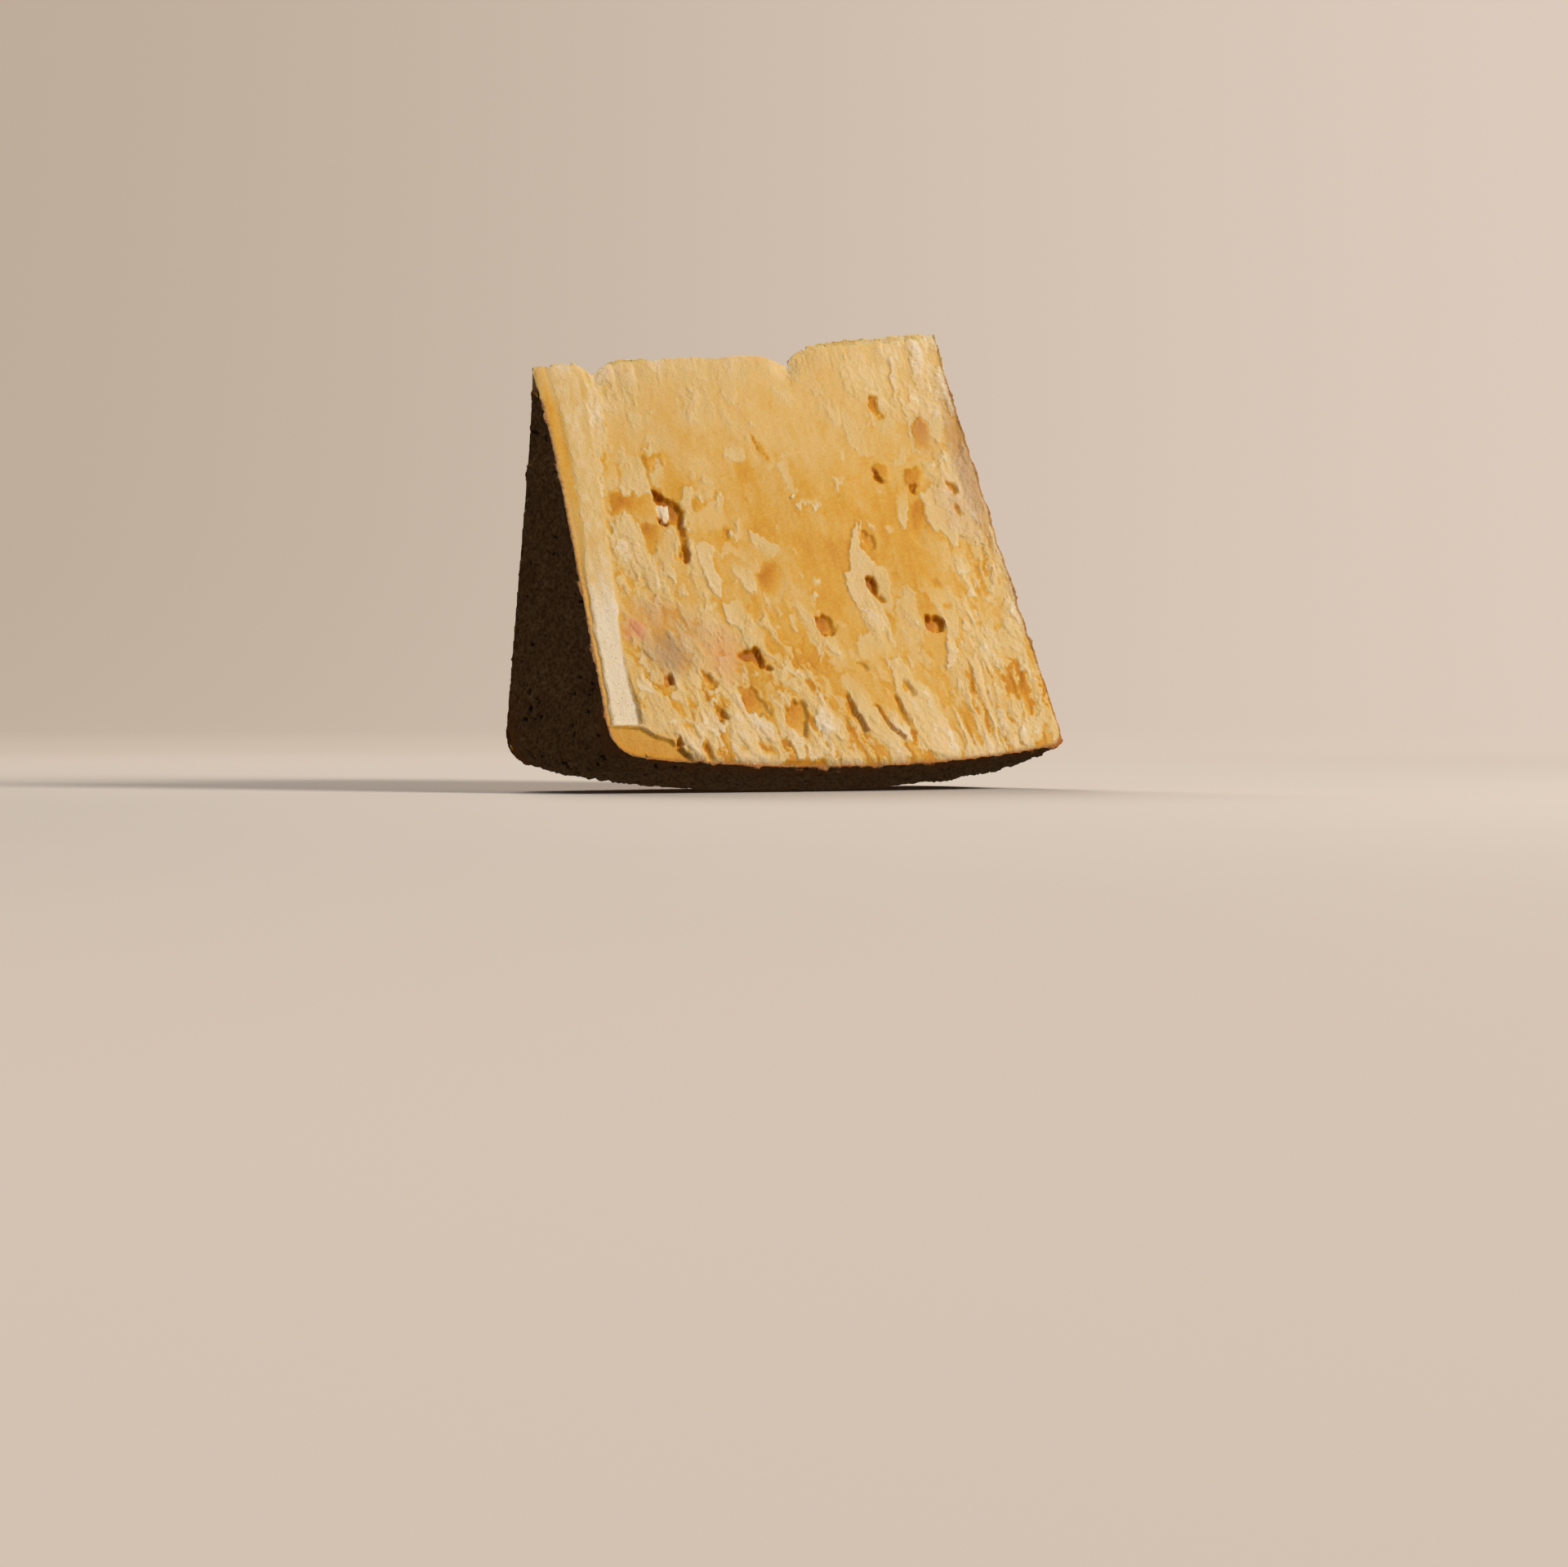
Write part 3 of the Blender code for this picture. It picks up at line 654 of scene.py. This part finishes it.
def add_grain(face):
    """The finest roughness, stronger where the paste is pale; the knife left none."""
    grain = layered([face.u / 0.9, face.v / 0.9], face.seed + 80, 2)
    face.height += grain * (0.04 + 0.07 * np.clip(face.tone, 0.0, 1.0)) * (1.0 - face.smooth)


def add_blush(face, blush):
    """Pink and brown stretches."""
    face.pink = np.zeros(face.u.shape)
    face.brown = np.zeros(face.u.shape)
    for middle_u, middle_v, half_u, half_v, pink, brown in blush:
        away = np.hypot((face.ragged_u - middle_u) / half_u, (face.ragged_v - middle_v) / half_v)
        amount = smoothstep(-0.35, 0.9, 1.0 - away) * (1.0 - face.strip)
        face.pink = np.maximum(face.pink, amount * pink)
        face.brown = np.maximum(face.brown, amount * brown)


def broken_face(seed, flakes, hollows, crumbs, tones, blush):
    """The finished maps of one broken face: height in mm, tone, and how pink and how brown."""
    face = start_maps(seed, tones)
    break_broadly(face)
    scales(face)
    sheets(face)
    scraps(face)
    add_flakes(face, flakes)
    dig_hollows(face, hollows)
    add_crumbs(face, crumbs)
    scored_edge(face)
    trim_corner(face)
    add_grain(face)
    add_blush(face, blush)
    return face


def wedge_maps():
    """The maps of the front face and of the back face."""
    small, pits = random_features(420, 5, (0.6, 2.2), FRONT_TONES, 0.12)
    flakes = small + with_points(FRONT_FLAKES)
    hollows = pits + with_points(FRONT_HOLLOWS)
    front = broken_face(1, flakes, hollows, with_points(FRONT_CRUMBS), FRONT_TONES, FRONT_BLUSH)
    small, pits = random_features(520, 8, (0.45, 1.7), BACK_TONES, 0.12)
    large = random_features(90, 7, (1.8, 5.2), BACK_TONES, -0.4)[0]
    back = broken_face(501, small + large, pits, [], BACK_TONES, BACK_BLUSH)
    return front, back


def sample(field, u, v):
    """Read a map at points (u, v), in mm."""
    x = np.clip((u - MAP_U[0]) / MAP_PITCH, 0.0, field.shape[1] - 1.001)
    y = np.clip((v - MAP_V[0]) / MAP_PITCH, 0.0, field.shape[0] - 1.001)
    i = x.astype(int)
    j = y.astype(int)
    x = x - i
    y = y - j
    low = field[j, i] * (1.0 - x) + field[j, i + 1] * x
    high = field[j + 1, i] * (1.0 - x) + field[j + 1, i + 1] * x
    return low * (1.0 - y) + high * y


# ---------------------------------------------------------------- the CAD solid's surfaces

class Plane:
    """A broken face of the CAD solid: where it is, its normal, its way up from the rind, its maps."""

    def __init__(self, centre, normal, area, chosen, maps):
        self.normal = np.average(normal[chosen], axis=0, weights=area[chosen])
        self.normal /= np.linalg.norm(self.normal)
        self.point = np.average(centre[chosen], axis=0, weights=area[chosen])
        up = np.array([0.0, 0.0, 1.0])
        self.up = up - self.normal * (up @ self.normal)
        self.up /= np.linalg.norm(self.up)
        self.maps = maps

    def distance(self, points):
        """How far points lie in front of the face or behind it, in mm."""
        return np.abs((points - self.point) @ self.normal) / MM

    def read(self, name, points):
        """One of the face's maps at points; its v is 0 where the face would reach the rind's edge line."""
        foot = (self.point[2] - RIND_EDGE_Z) / self.up[2]
        v = ((points - self.point) @ self.up + foot) / MM
        return sample(getattr(self.maps, name), points[:, 0] / MM, v)


def read_array(items, name, width):
    """One property of a mesh's items, a row for each."""
    values = np.empty(len(items) * width)
    items.foreach_get(name, values)
    return values.reshape(-1, width)


def read_solid(mesh, maps_front, maps_back):
    """The CAD solid's two broken faces, and a tree of its rind for finding how deep a point lies."""
    centre = read_array(mesh.polygons, "center", 3)
    normal = read_array(mesh.polygons, "normal", 3)
    area = read_array(mesh.polygons, "area", 1).ravel()
    is_front = (normal[:, 1] < -0.7) & (normal[:, 2] > 0.3)
    is_back = normal[:, 1] > 0.97
    is_high = centre[:, 2] > HIGH_Z
    is_tip = is_high & (normal[:, 2] > 0.7)
    is_step = is_high & (np.abs(centre[:, 0]) < STEP_REACH) & (np.abs(normal[:, 0]) > 0.9)
    front = Plane(centre, normal, area, is_front, maps_front)
    back = Plane(centre, normal, area, is_back, maps_back)
    is_rind = ~(is_front | is_back | is_tip | is_step)
    corners = [v.co.copy() for v in mesh.vertices]
    faces = [tuple(p.vertices) for p in mesh.polygons if is_rind[p.index]]
    return front, back, BVHTree.FromPolygons(corners, faces)


# ---------------------------------------------------------------- the wedge's mesh

def remeshed_copy(source, voxel):
    """A fine, even mesh of the same solid."""
    holder = bpy.data.objects.new("wedge", source.data.copy())
    bpy.context.scene.collection.objects.link(holder)
    holder.data.materials.clear()
    weld = holder.modifiers.new("weld", "WELD")
    weld.merge_threshold = WELD_DISTANCE
    remesh = holder.modifiers.new("remesh", "REMESH")
    remesh.mode = "VOXEL"
    remesh.voxel_size = voxel
    evaluated = holder.evaluated_get(bpy.context.evaluated_depsgraph_get())
    mesh = bpy.data.meshes.new_from_object(evaluated)
    holder.modifiers.clear()
    holder.data = mesh
    return holder


def mould_marks(x, y, z):
    """Marks of the mould's holes on the barrel, from 0 to 1: low bumps in a hexagonal lattice."""
    around_rim = np.arctan2(y - REST_Y, WHEEL_RADIUS - z) * WHEEL_RADIUS
    row = np.floor(x / (MARK_PITCH * ROW_SHARE))
    bump = np.zeros(x.shape)
    for near in (0.0, 1.0):
        r = row + near
        shift = np.mod(r, 2.0) * 0.5 * MARK_PITCH
        step = np.floor((around_rim - shift) / MARK_PITCH + 0.5) * MARK_PITCH + shift
        distance = np.hypot(x - r * MARK_PITCH * ROW_SHARE, around_rim - step)
        bump = np.maximum(bump, smoothstep(2.1, 1.0, distance))
    return bump


def rind_height(points, normals):
    """Height in mm of the rind's grain, bumps and pits, and how much of each point is pit."""
    places = (points / MM).T
    height = 0.50 * layered(places / 9.0, 201, 2) + 0.64 * layered(places / 1.8, 202, 3, 0.65)
    height += 0.40 * noise(places / 3.2, 203)
    pit_field = layered(places / 2.1, 205, 3, 0.6)
    pit = smoothstep(0.62, 1.0, pit_field + 0.30 * noise(places / 12.0, 204))
    height -= 0.8 * pit
    barrel = smoothstep(-0.75, -0.92, normals[:, 2])
    worn = smoothstep(-0.5, 0.4, noise(places / 13.0, 207))
    height += barrel * worn * 0.35 * (mould_marks(*places) - 0.4)
    return height, pit


def ragged_tip(points):
    """How far each point near the tip moves up, in mm, so that the tip follows its line; and how near."""
    x, y, z = (points / MM).T
    bins = np.round(x).astype(int) - int(round(x.min()))
    highest = np.zeros(bins.max() + 1)
    np.maximum.at(highest, bins, z)
    line = np.array(TIP_LINE)
    wanted = np.interp(x, line[:, 0], line[:, 1]) + 0.35 * layered([x / 2.6, y / 2.6], 301, 3)
    near_tip = smoothstep(9.0, 0.5, highest[bins] - z) * (highest[bins] > 104.0)
    return np.clip(wanted - highest[bins], -5.0, 1.5) * near_tip * smoothstep(69.0, 66.5, x), near_tip


def worn_end(points):
    """How far each point near the end at +X moves in, in mm: the edge is worn and wavy at mid-height."""
    x, y, z = (points / MM).T
    worn = 0.55 + 0.75 * layered([y / 7.0, z / 6.0], 311, 3)
    return worn * smoothstep(62.0, 68.0, x) * smoothstep(25.0, 55.0, z) * smoothstep(118.0, 104.0, z)


def lift_of_rind(rind, on_rind, height):
    """How far each point of the rind moves out, in mm; where the wedge rests, it only moves in."""
    lift = (rind - 0.35) * on_rind * smoothstep(121.0, 112.0, height)
    resting = smoothstep(2.5, 0.0, height)
    return np.where(resting > 0.0, np.minimum(lift, 0.0) * resting + lift * (1.0 - resting), lift)


def blended(name, base, front, back, share_front):
    """A map's value at each point, from both broken faces."""
    value = front.read(name, base) * share_front
    return value + back.read(name, base) * (1.0 - share_front)


def shape_wedge(node):
    """The finished mesh of the wedge, with the attributes that its material reads."""
    front, back, rind_tree = read_solid(node.data, *wedge_maps())
    wedge = remeshed_copy(node, VOXEL * MM)
    mesh = wedge.data
    base = read_array(mesh.vertices, "co", 3)
    normals = read_array(mesh.vertex_normals, "vector", 3)
    height = base[:, 2] / MM
    tip_shift, near_tip = ragged_tip(base)
    depth = np.array([rind_tree.find_nearest(Vector(p))[3] for p in base]) / MM + 3.0 * near_tip
    on_front = smoothstep(0.45, 0.85, normals @ front.normal)
    on_back = smoothstep(0.45, 0.85, normals @ back.normal)
    on_neither = np.clip(1.0 - on_front - on_back, 0.0, 1.0)
    on_rind = on_neither * smoothstep(1.6, 0.6, depth)

    rind, pit = rind_height(base, normals)
    edge_calm = 0.25 + 0.75 * smoothstep(0.0, 2.5, depth)
    moved = base.copy()
    for face, on_face in ((front, on_front), (back, on_back)):
        lift = face.read("height", base) * edge_calm
        moved += (on_face * lift * MM)[:, None] * face.normal
    moved += (lift_of_rind(rind, on_rind, height) * MM)[:, None] * normals
    moved[:, 2] += tip_shift * MM
    moved[:, 0] -= worn_end(base) * MM
    moved[:, 2] = np.maximum(moved[:, 2], 0.0)
    mesh.vertices.foreach_set("co", moved.ravel())
    mesh.update()

    # The material's guides
    share_front = on_front / np.maximum(on_front + on_back, 1e-6)
    on_tip = on_neither * smoothstep(0.8, 2.0, depth)
    edge = smoothstep(8.0, 1.5, np.minimum(front.distance(base), back.distance(base)))
    guides = {name: blended(name, base, front, back, share_front) for name in ("tone", "pink", "brown")}
    # Painted light: within a few mm of the tip the paste is paler, as if lit through its thin edge
    guides["tone"] = (guides["tone"] + 0.30 * near_tip) * (1.0 - on_tip) + TIP_TONE * on_tip
    guides["depth"] = depth
    guides["pit"] = pit * on_rind
    # The edge is kept to the foot: the red there is partly the crust's own colour and partly painted warm
    # light from below
    guides["edge"] = edge * smoothstep(30.0, 10.0, height)
    for name, value in guides.items():
        attribute = mesh.attributes.new(name, "FLOAT", "POINT")
        attribute.data.foreach_set("value", value.astype(np.float32))
    return wedge


# ---------------------------------------------------------------- materials

class Nodes:
    """A short way to write a material's node tree."""

    def __init__(self, name):
        self.material = bpy.data.materials.new(name)
        self.material.use_nodes = True
        self.tree = self.material.node_tree
        self.shader = self.tree.nodes["Principled BSDF"].inputs
        self.place = self.tree.nodes.new("ShaderNodeTexCoord").outputs["Object"]

    def put(self, socket, value):
        """Link a socket to another, or set its value."""
        if isinstance(value, bpy.types.NodeSocket):
            self.tree.links.new(value, socket)
        else:
            socket.default_value = value

    def attribute(self, name):
        """One of the mesh's guides."""
        node = self.tree.nodes.new("ShaderNodeAttribute")
        node.attribute_name = name
        return node.outputs["Fac"]

    def math(self, operation, a, b=0.0):
        """A sum on one or two values."""
        node = self.tree.nodes.new("ShaderNodeMath")
        node.operation = operation
        for socket, value in zip(node.inputs, (a, b)):
            self.put(socket, value)
        return node.outputs[0]

    def plus(self, a, b):
        return self.math("ADD", a, b)

    def minus(self, a, b):
        return self.math("SUBTRACT", a, b)

    def times(self, a, b):
        return self.math("MULTIPLY", a, b)

    def varied(self, value, field, amount):
        """A value moved up and down by a field that runs from 0 to 1."""
        return self.plus(value, self.times(self.minus(field, 0.5), amount))

    def ramp(self, value, low, high, to_low=0.0, to_high=1.0):
        """Map a value smoothly from one range to another."""
        node = self.tree.nodes.new("ShaderNodeMapRange")
        node.interpolation_type = "SMOOTHSTEP"
        for socket, given in zip(node.inputs, (value, low, high, to_low, to_high)):
            self.put(socket, given)
        return node.outputs[0]

    def noise(self, size, detail=3.0, roughness=0.55, stretch=None):
        """Noise over the object from 0 to 1; size is that of its largest features in mm."""
        node = self.tree.nodes.new("ShaderNodeTexNoise")
        place = self.place
        if stretch:
            mapping = self.tree.nodes.new("ShaderNodeMapping")
            mapping.inputs["Scale"].default_value = stretch
            self.put(mapping.inputs["Vector"], place)
            place = mapping.outputs[0]
        self.put(node.inputs["Vector"], place)
        node.inputs["Scale"].default_value = 1.0 / (size * MM)
        node.inputs["Detail"].default_value = detail
        node.inputs["Roughness"].default_value = roughness
        return node.outputs["Fac"]

    def specks(self, size):
        """Distance to scattered points, in cells of this size in mm."""
        node = self.tree.nodes.new("ShaderNodeTexVoronoi")
        self.put(node.inputs["Vector"], self.place)
        node.inputs["Scale"].default_value = 1.0 / (size * MM)
        return node.outputs["Distance"]

    def mix(self, share, a, b, data_type="RGBA"):
        """Blend two colours, or two values."""
        node = self.tree.nodes.new("ShaderNodeMix")
        node.data_type = data_type
        for name, value in (("Factor", share), ("A", a), ("B", b)):
            self.put(node.inputs[name], value)
        return node.outputs["Result"]

    def colours(self, value, stops):
        """Colour along a value, from stops of (value, colour)."""
        node = self.tree.nodes.new("ShaderNodeValToRGB")
        low = stops[0][0]
        span = stops[-1][0] - low
        elements = node.color_ramp.elements
        elements.remove(elements[-1])
        elements[0].color = (*stops[0][1], 1.0)
        for at, colour in stops[1:]:
            elements.new((at - low) / span).color = (*colour, 1.0)
        self.put(node.inputs["Fac"], self.math("DIVIDE", self.minus(value, low), span))
        return node.outputs["Color"]

    def bump(self, height, distance, strength):
        """A normal that follows a height; distance is what 1 stands for, in mm."""
        node = self.tree.nodes.new("ShaderNodeBump")
        node.inputs["Distance"].default_value = distance * MM
        node.inputs["Strength"].default_value = strength
        self.put(node.inputs["Height"], height)
        return node.outputs[0]


def paste_tone(n, fine, finest):
    """The paste's tone from the mesh, with the grain that is too fine for the mesh."""
    long_grain = n.noise(2.2, 4.0, 0.6, (1.0, 0.35, 0.22))
    tone = n.attribute("tone")
    for field, amount in ((fine, 0.55), (finest, 0.35), (long_grain, 0.50), (n.noise(28.0, 2.0), 0.30)):
        tone = n.varied(tone, field, amount)
    return n.varied(tone, n.ramp(tone, 0.22, 0.46), 0.24)


def paste_colour(n, tone, depth):
    """The paste: blushed here and there, specked where it is palest, darker just under the rind."""
    paste = n.colours(tone, TONE_COLOURS)
    paste = n.mix(n.times(n.attribute("pink"), 0.8), paste, PINK)
    paste = n.mix(n.times(n.attribute("brown"), 0.75), paste, BROWN)
    speck = n.times(n.ramp(n.specks(1.35), 0.17, 0.10), n.ramp(tone, 0.9, 1.2))
    paste = n.mix(n.times(speck, 0.6), paste, UNDER_RIND)
    return n.mix(n.times(n.ramp(depth, 1.5, 0.7), 0.5), paste, UNDER_RIND)


def rind_colour(n, grit):
    """The rind: sand and brown grains, redder along the edge of the paste near the foot, partly its own
    colour and partly painted warm light thrown up from below, dark in its pits.
    """
    rind = n.mix(n.ramp(grit, 0.38, 0.62), RIND_BROWN, RIND_SAND)
    rind = n.mix(n.times(n.attribute("edge"), n.ramp(n.noise(5.0), 0.35, 0.6)), rind, RIND_RED_AND_BOUNCE_LIGHT)
    rind = n.mix(n.ramp(n.noise(14.0, 3.0), 0.52, 0.75, 0.0, 0.55), rind, RIND_BROWN)
    return n.mix(n.ramp(n.attribute("pit"), 0.15, 0.75, 0.0, 0.9), rind, RIND_DARK)


def cheese_material():
    """Amber paste with pale torn flakes, and a sandy brown rind."""
    n = Nodes("cheese")
    fine = n.noise(1.0, 4.0, 0.70)
    finest = n.noise(0.5, 2.0, 0.6)
    grit = n.noise(1.1, 4.0, 0.7)
    tone = paste_tone(n, fine, finest)
    depth = n.varied(n.attribute("depth"), fine, 1.6)
    rind_share = n.ramp(depth, 0.95, 0.45)
    n.put(n.shader["Base Color"], n.mix(rind_share, paste_colour(n, tone, depth), rind_colour(n, grit)))

    flaked = n.ramp(tone, 0.1, 0.9)
    rough = n.ramp(flaked, 0.0, 1.0, 0.50, 0.68)
    n.put(n.shader["Roughness"], n.plus(rough, n.times(rind_share, 0.35)))
    n.put(n.shader["Specular IOR Level"], 0.16)
    n.put(n.shader["IOR"], 1.45)
    n.put(n.shader["Subsurface Radius"], (1.0, 0.42, 0.12))
    n.put(n.shader["Subsurface Scale"], 1.2 * MM)
    n.put(n.shader["Subsurface Weight"], n.times(n.minus(1.0, rind_share), 0.35))

    paste_bump = n.times(fine, n.plus(n.times(flaked, 0.8), 0.25))
    paste_bump = n.plus(paste_bump, n.times(finest, 0.35))
    rind_bump = n.times(n.plus(grit, n.times(finest, 0.6)), 1.6)
    n.put(n.shader["Normal"], n.bump(n.mix(rind_share, paste_bump, rind_bump, "FLOAT"), 0.28, 0.8))
    return n.material


def stage_material():
    """Plain pale plaster, lit a little from itself where the lamps no longer reach."""
    n = Nodes("plaster")
    split = n.tree.nodes.new("ShaderNodeSeparateXYZ")
    n.put(split.inputs[0], n.place)
    x, y = split.outputs[0], split.outputs[1]
    far = n.ramp(n.math("SQRT", n.plus(n.times(x, x), n.times(y, y))), GLOW_START, GLOW_FULL)
    side = n.minus(x, n.times(y, SIDE_SLOPE))
    tone = n.mix(n.noise(160.0, 2.0), FLOOR_TONE, FLOOR_TONE_LIGHT)
    n.put(n.shader["Base Color"], n.mix(far, tone, WALL_TONE))
    n.put(n.shader["Roughness"], 0.9)
    n.put(n.shader["Specular IOR Level"], 0.1)
    # Painted light: the wall's glow is brighter towards the right of the view
    n.put(n.shader["Emission Color"], n.mix(n.ramp(side, -1.0, 1.0), WALL_GLOW_LEFT, WALL_GLOW_RIGHT))
    n.put(n.shader["Emission Strength"], far)
    return n.material


# ---------------------------------------------------------------- stage, light and camera

def make_stage():
    """A round floor that curves up into a wall, all about the wedge."""
    profile = [(r, 0.0) for r in (0.0, 0.3, 0.8, FLOOR_RADIUS)]
    for i in range(1, BEND_STEPS + 1):
        angle = math.radians(90.0) * i / BEND_STEPS
        profile.append((FLOOR_RADIUS + WALL_BEND * math.sin(angle), WALL_BEND * (1.0 - math.cos(angle))))
    profile.append((FLOOR_RADIUS + WALL_BEND, WALL_TOP))
    mesh = bpy.data.meshes.new("stage")
    mesh.from_pydata([(r, 0.0, z) for r, z in profile], [(i, i + 1) for i in range(len(profile) - 1)], [])
    stage = bpy.data.objects.new("stage", mesh)
    bpy.context.scene.collection.objects.link(stage)
    screw = stage.modifiers.new("turn", "SCREW")
    screw.steps = STAGE_TURN_STEPS
    screw.render_steps = STAGE_TURN_STEPS
    screw.use_merge_vertices = True
    screw.merge_threshold = 0.0001
    screw.use_smooth_shade = True
    mesh.materials.append(stage_material())
    # The wedge stood on something dark, so the pale stage throws no light back at it
    stage.visible_diffuse = False
    stage.visible_glossy = False
    stage.visible_shadow = False


def area_light(name, azimuth, elevation, distance, size, power, colour):
    """A square lamp that faces the wedge; its azimuth is counted as a camera's is."""
    data = bpy.data.lights.new(name, "AREA")
    data.energy = power
    data.size = size
    data.color = colour
    lamp = bpy.data.objects.new(name, data)
    bpy.context.scene.collection.objects.link(lamp)
    a = math.radians(azimuth)
    e = math.radians(elevation)
    way = Vector((math.sin(a) * math.cos(e), -math.cos(a) * math.cos(e), math.sin(e)))
    lamp.location = way * distance + Vector((0.0, 0.0, LAMP_AIM_Z))
    lamp.rotation_euler = way.to_track_quat("Z", "Y").to_euler()


def light_scene():
    """A warm soft key from the right of the camera, a weaker lamp behind, and a dim sky."""
    area_light("key", 34.0, 30.0, 1.7, 0.50, 31.0, (1.0, 0.95, 0.86))
    area_light("back", 172.0, 42.0, 1.8, 0.8, 20.0, (1.0, 0.93, 0.85))
    world = bpy.data.worlds.new("sky")
    world.use_nodes = True
    sky = world.node_tree.nodes["Background"].inputs
    sky["Color"].default_value = SKY_COLOUR
    sky["Strength"].default_value = SKY_STRENGTH
    bpy.context.scene.world = world
    bpy.context.scene.view_settings.view_transform = "Standard"


def make_camera():
    """The camera, level with the foot of the wedge."""
    data = bpy.data.cameras.new("camera")
    data.lens = CAMERA_LENS
    data.sensor_width = CAMERA_SENSOR
    data.clip_end = CAMERA_CLIP_END
    camera = bpy.data.objects.new("camera", data)
    bpy.context.scene.collection.objects.link(camera)
    a = math.radians(CAMERA_AZIMUTH)
    side = Vector((math.cos(a), math.sin(a), 0.0))
    back = Vector((math.sin(a), -math.cos(a), 0.0))
    camera.location = Vector((*CAMERA_AIM, CAMERA_HEIGHT)) + back * CAMERA_DISTANCE + side * CAMERA_SIDE
    camera.rotation_euler = (math.radians(90.0 + CAMERA_PITCH), 0.0, a)
    bpy.context.scene.camera = camera


def main():
    make_camera()
    make_stage()
    light_scene()
    wedge = shape_wedge(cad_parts[NODE])
    wedge.data.materials.append(cheese_material())
    wedge.data.shade_smooth()
    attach(wedge, "root")
    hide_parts(NODE)


main()
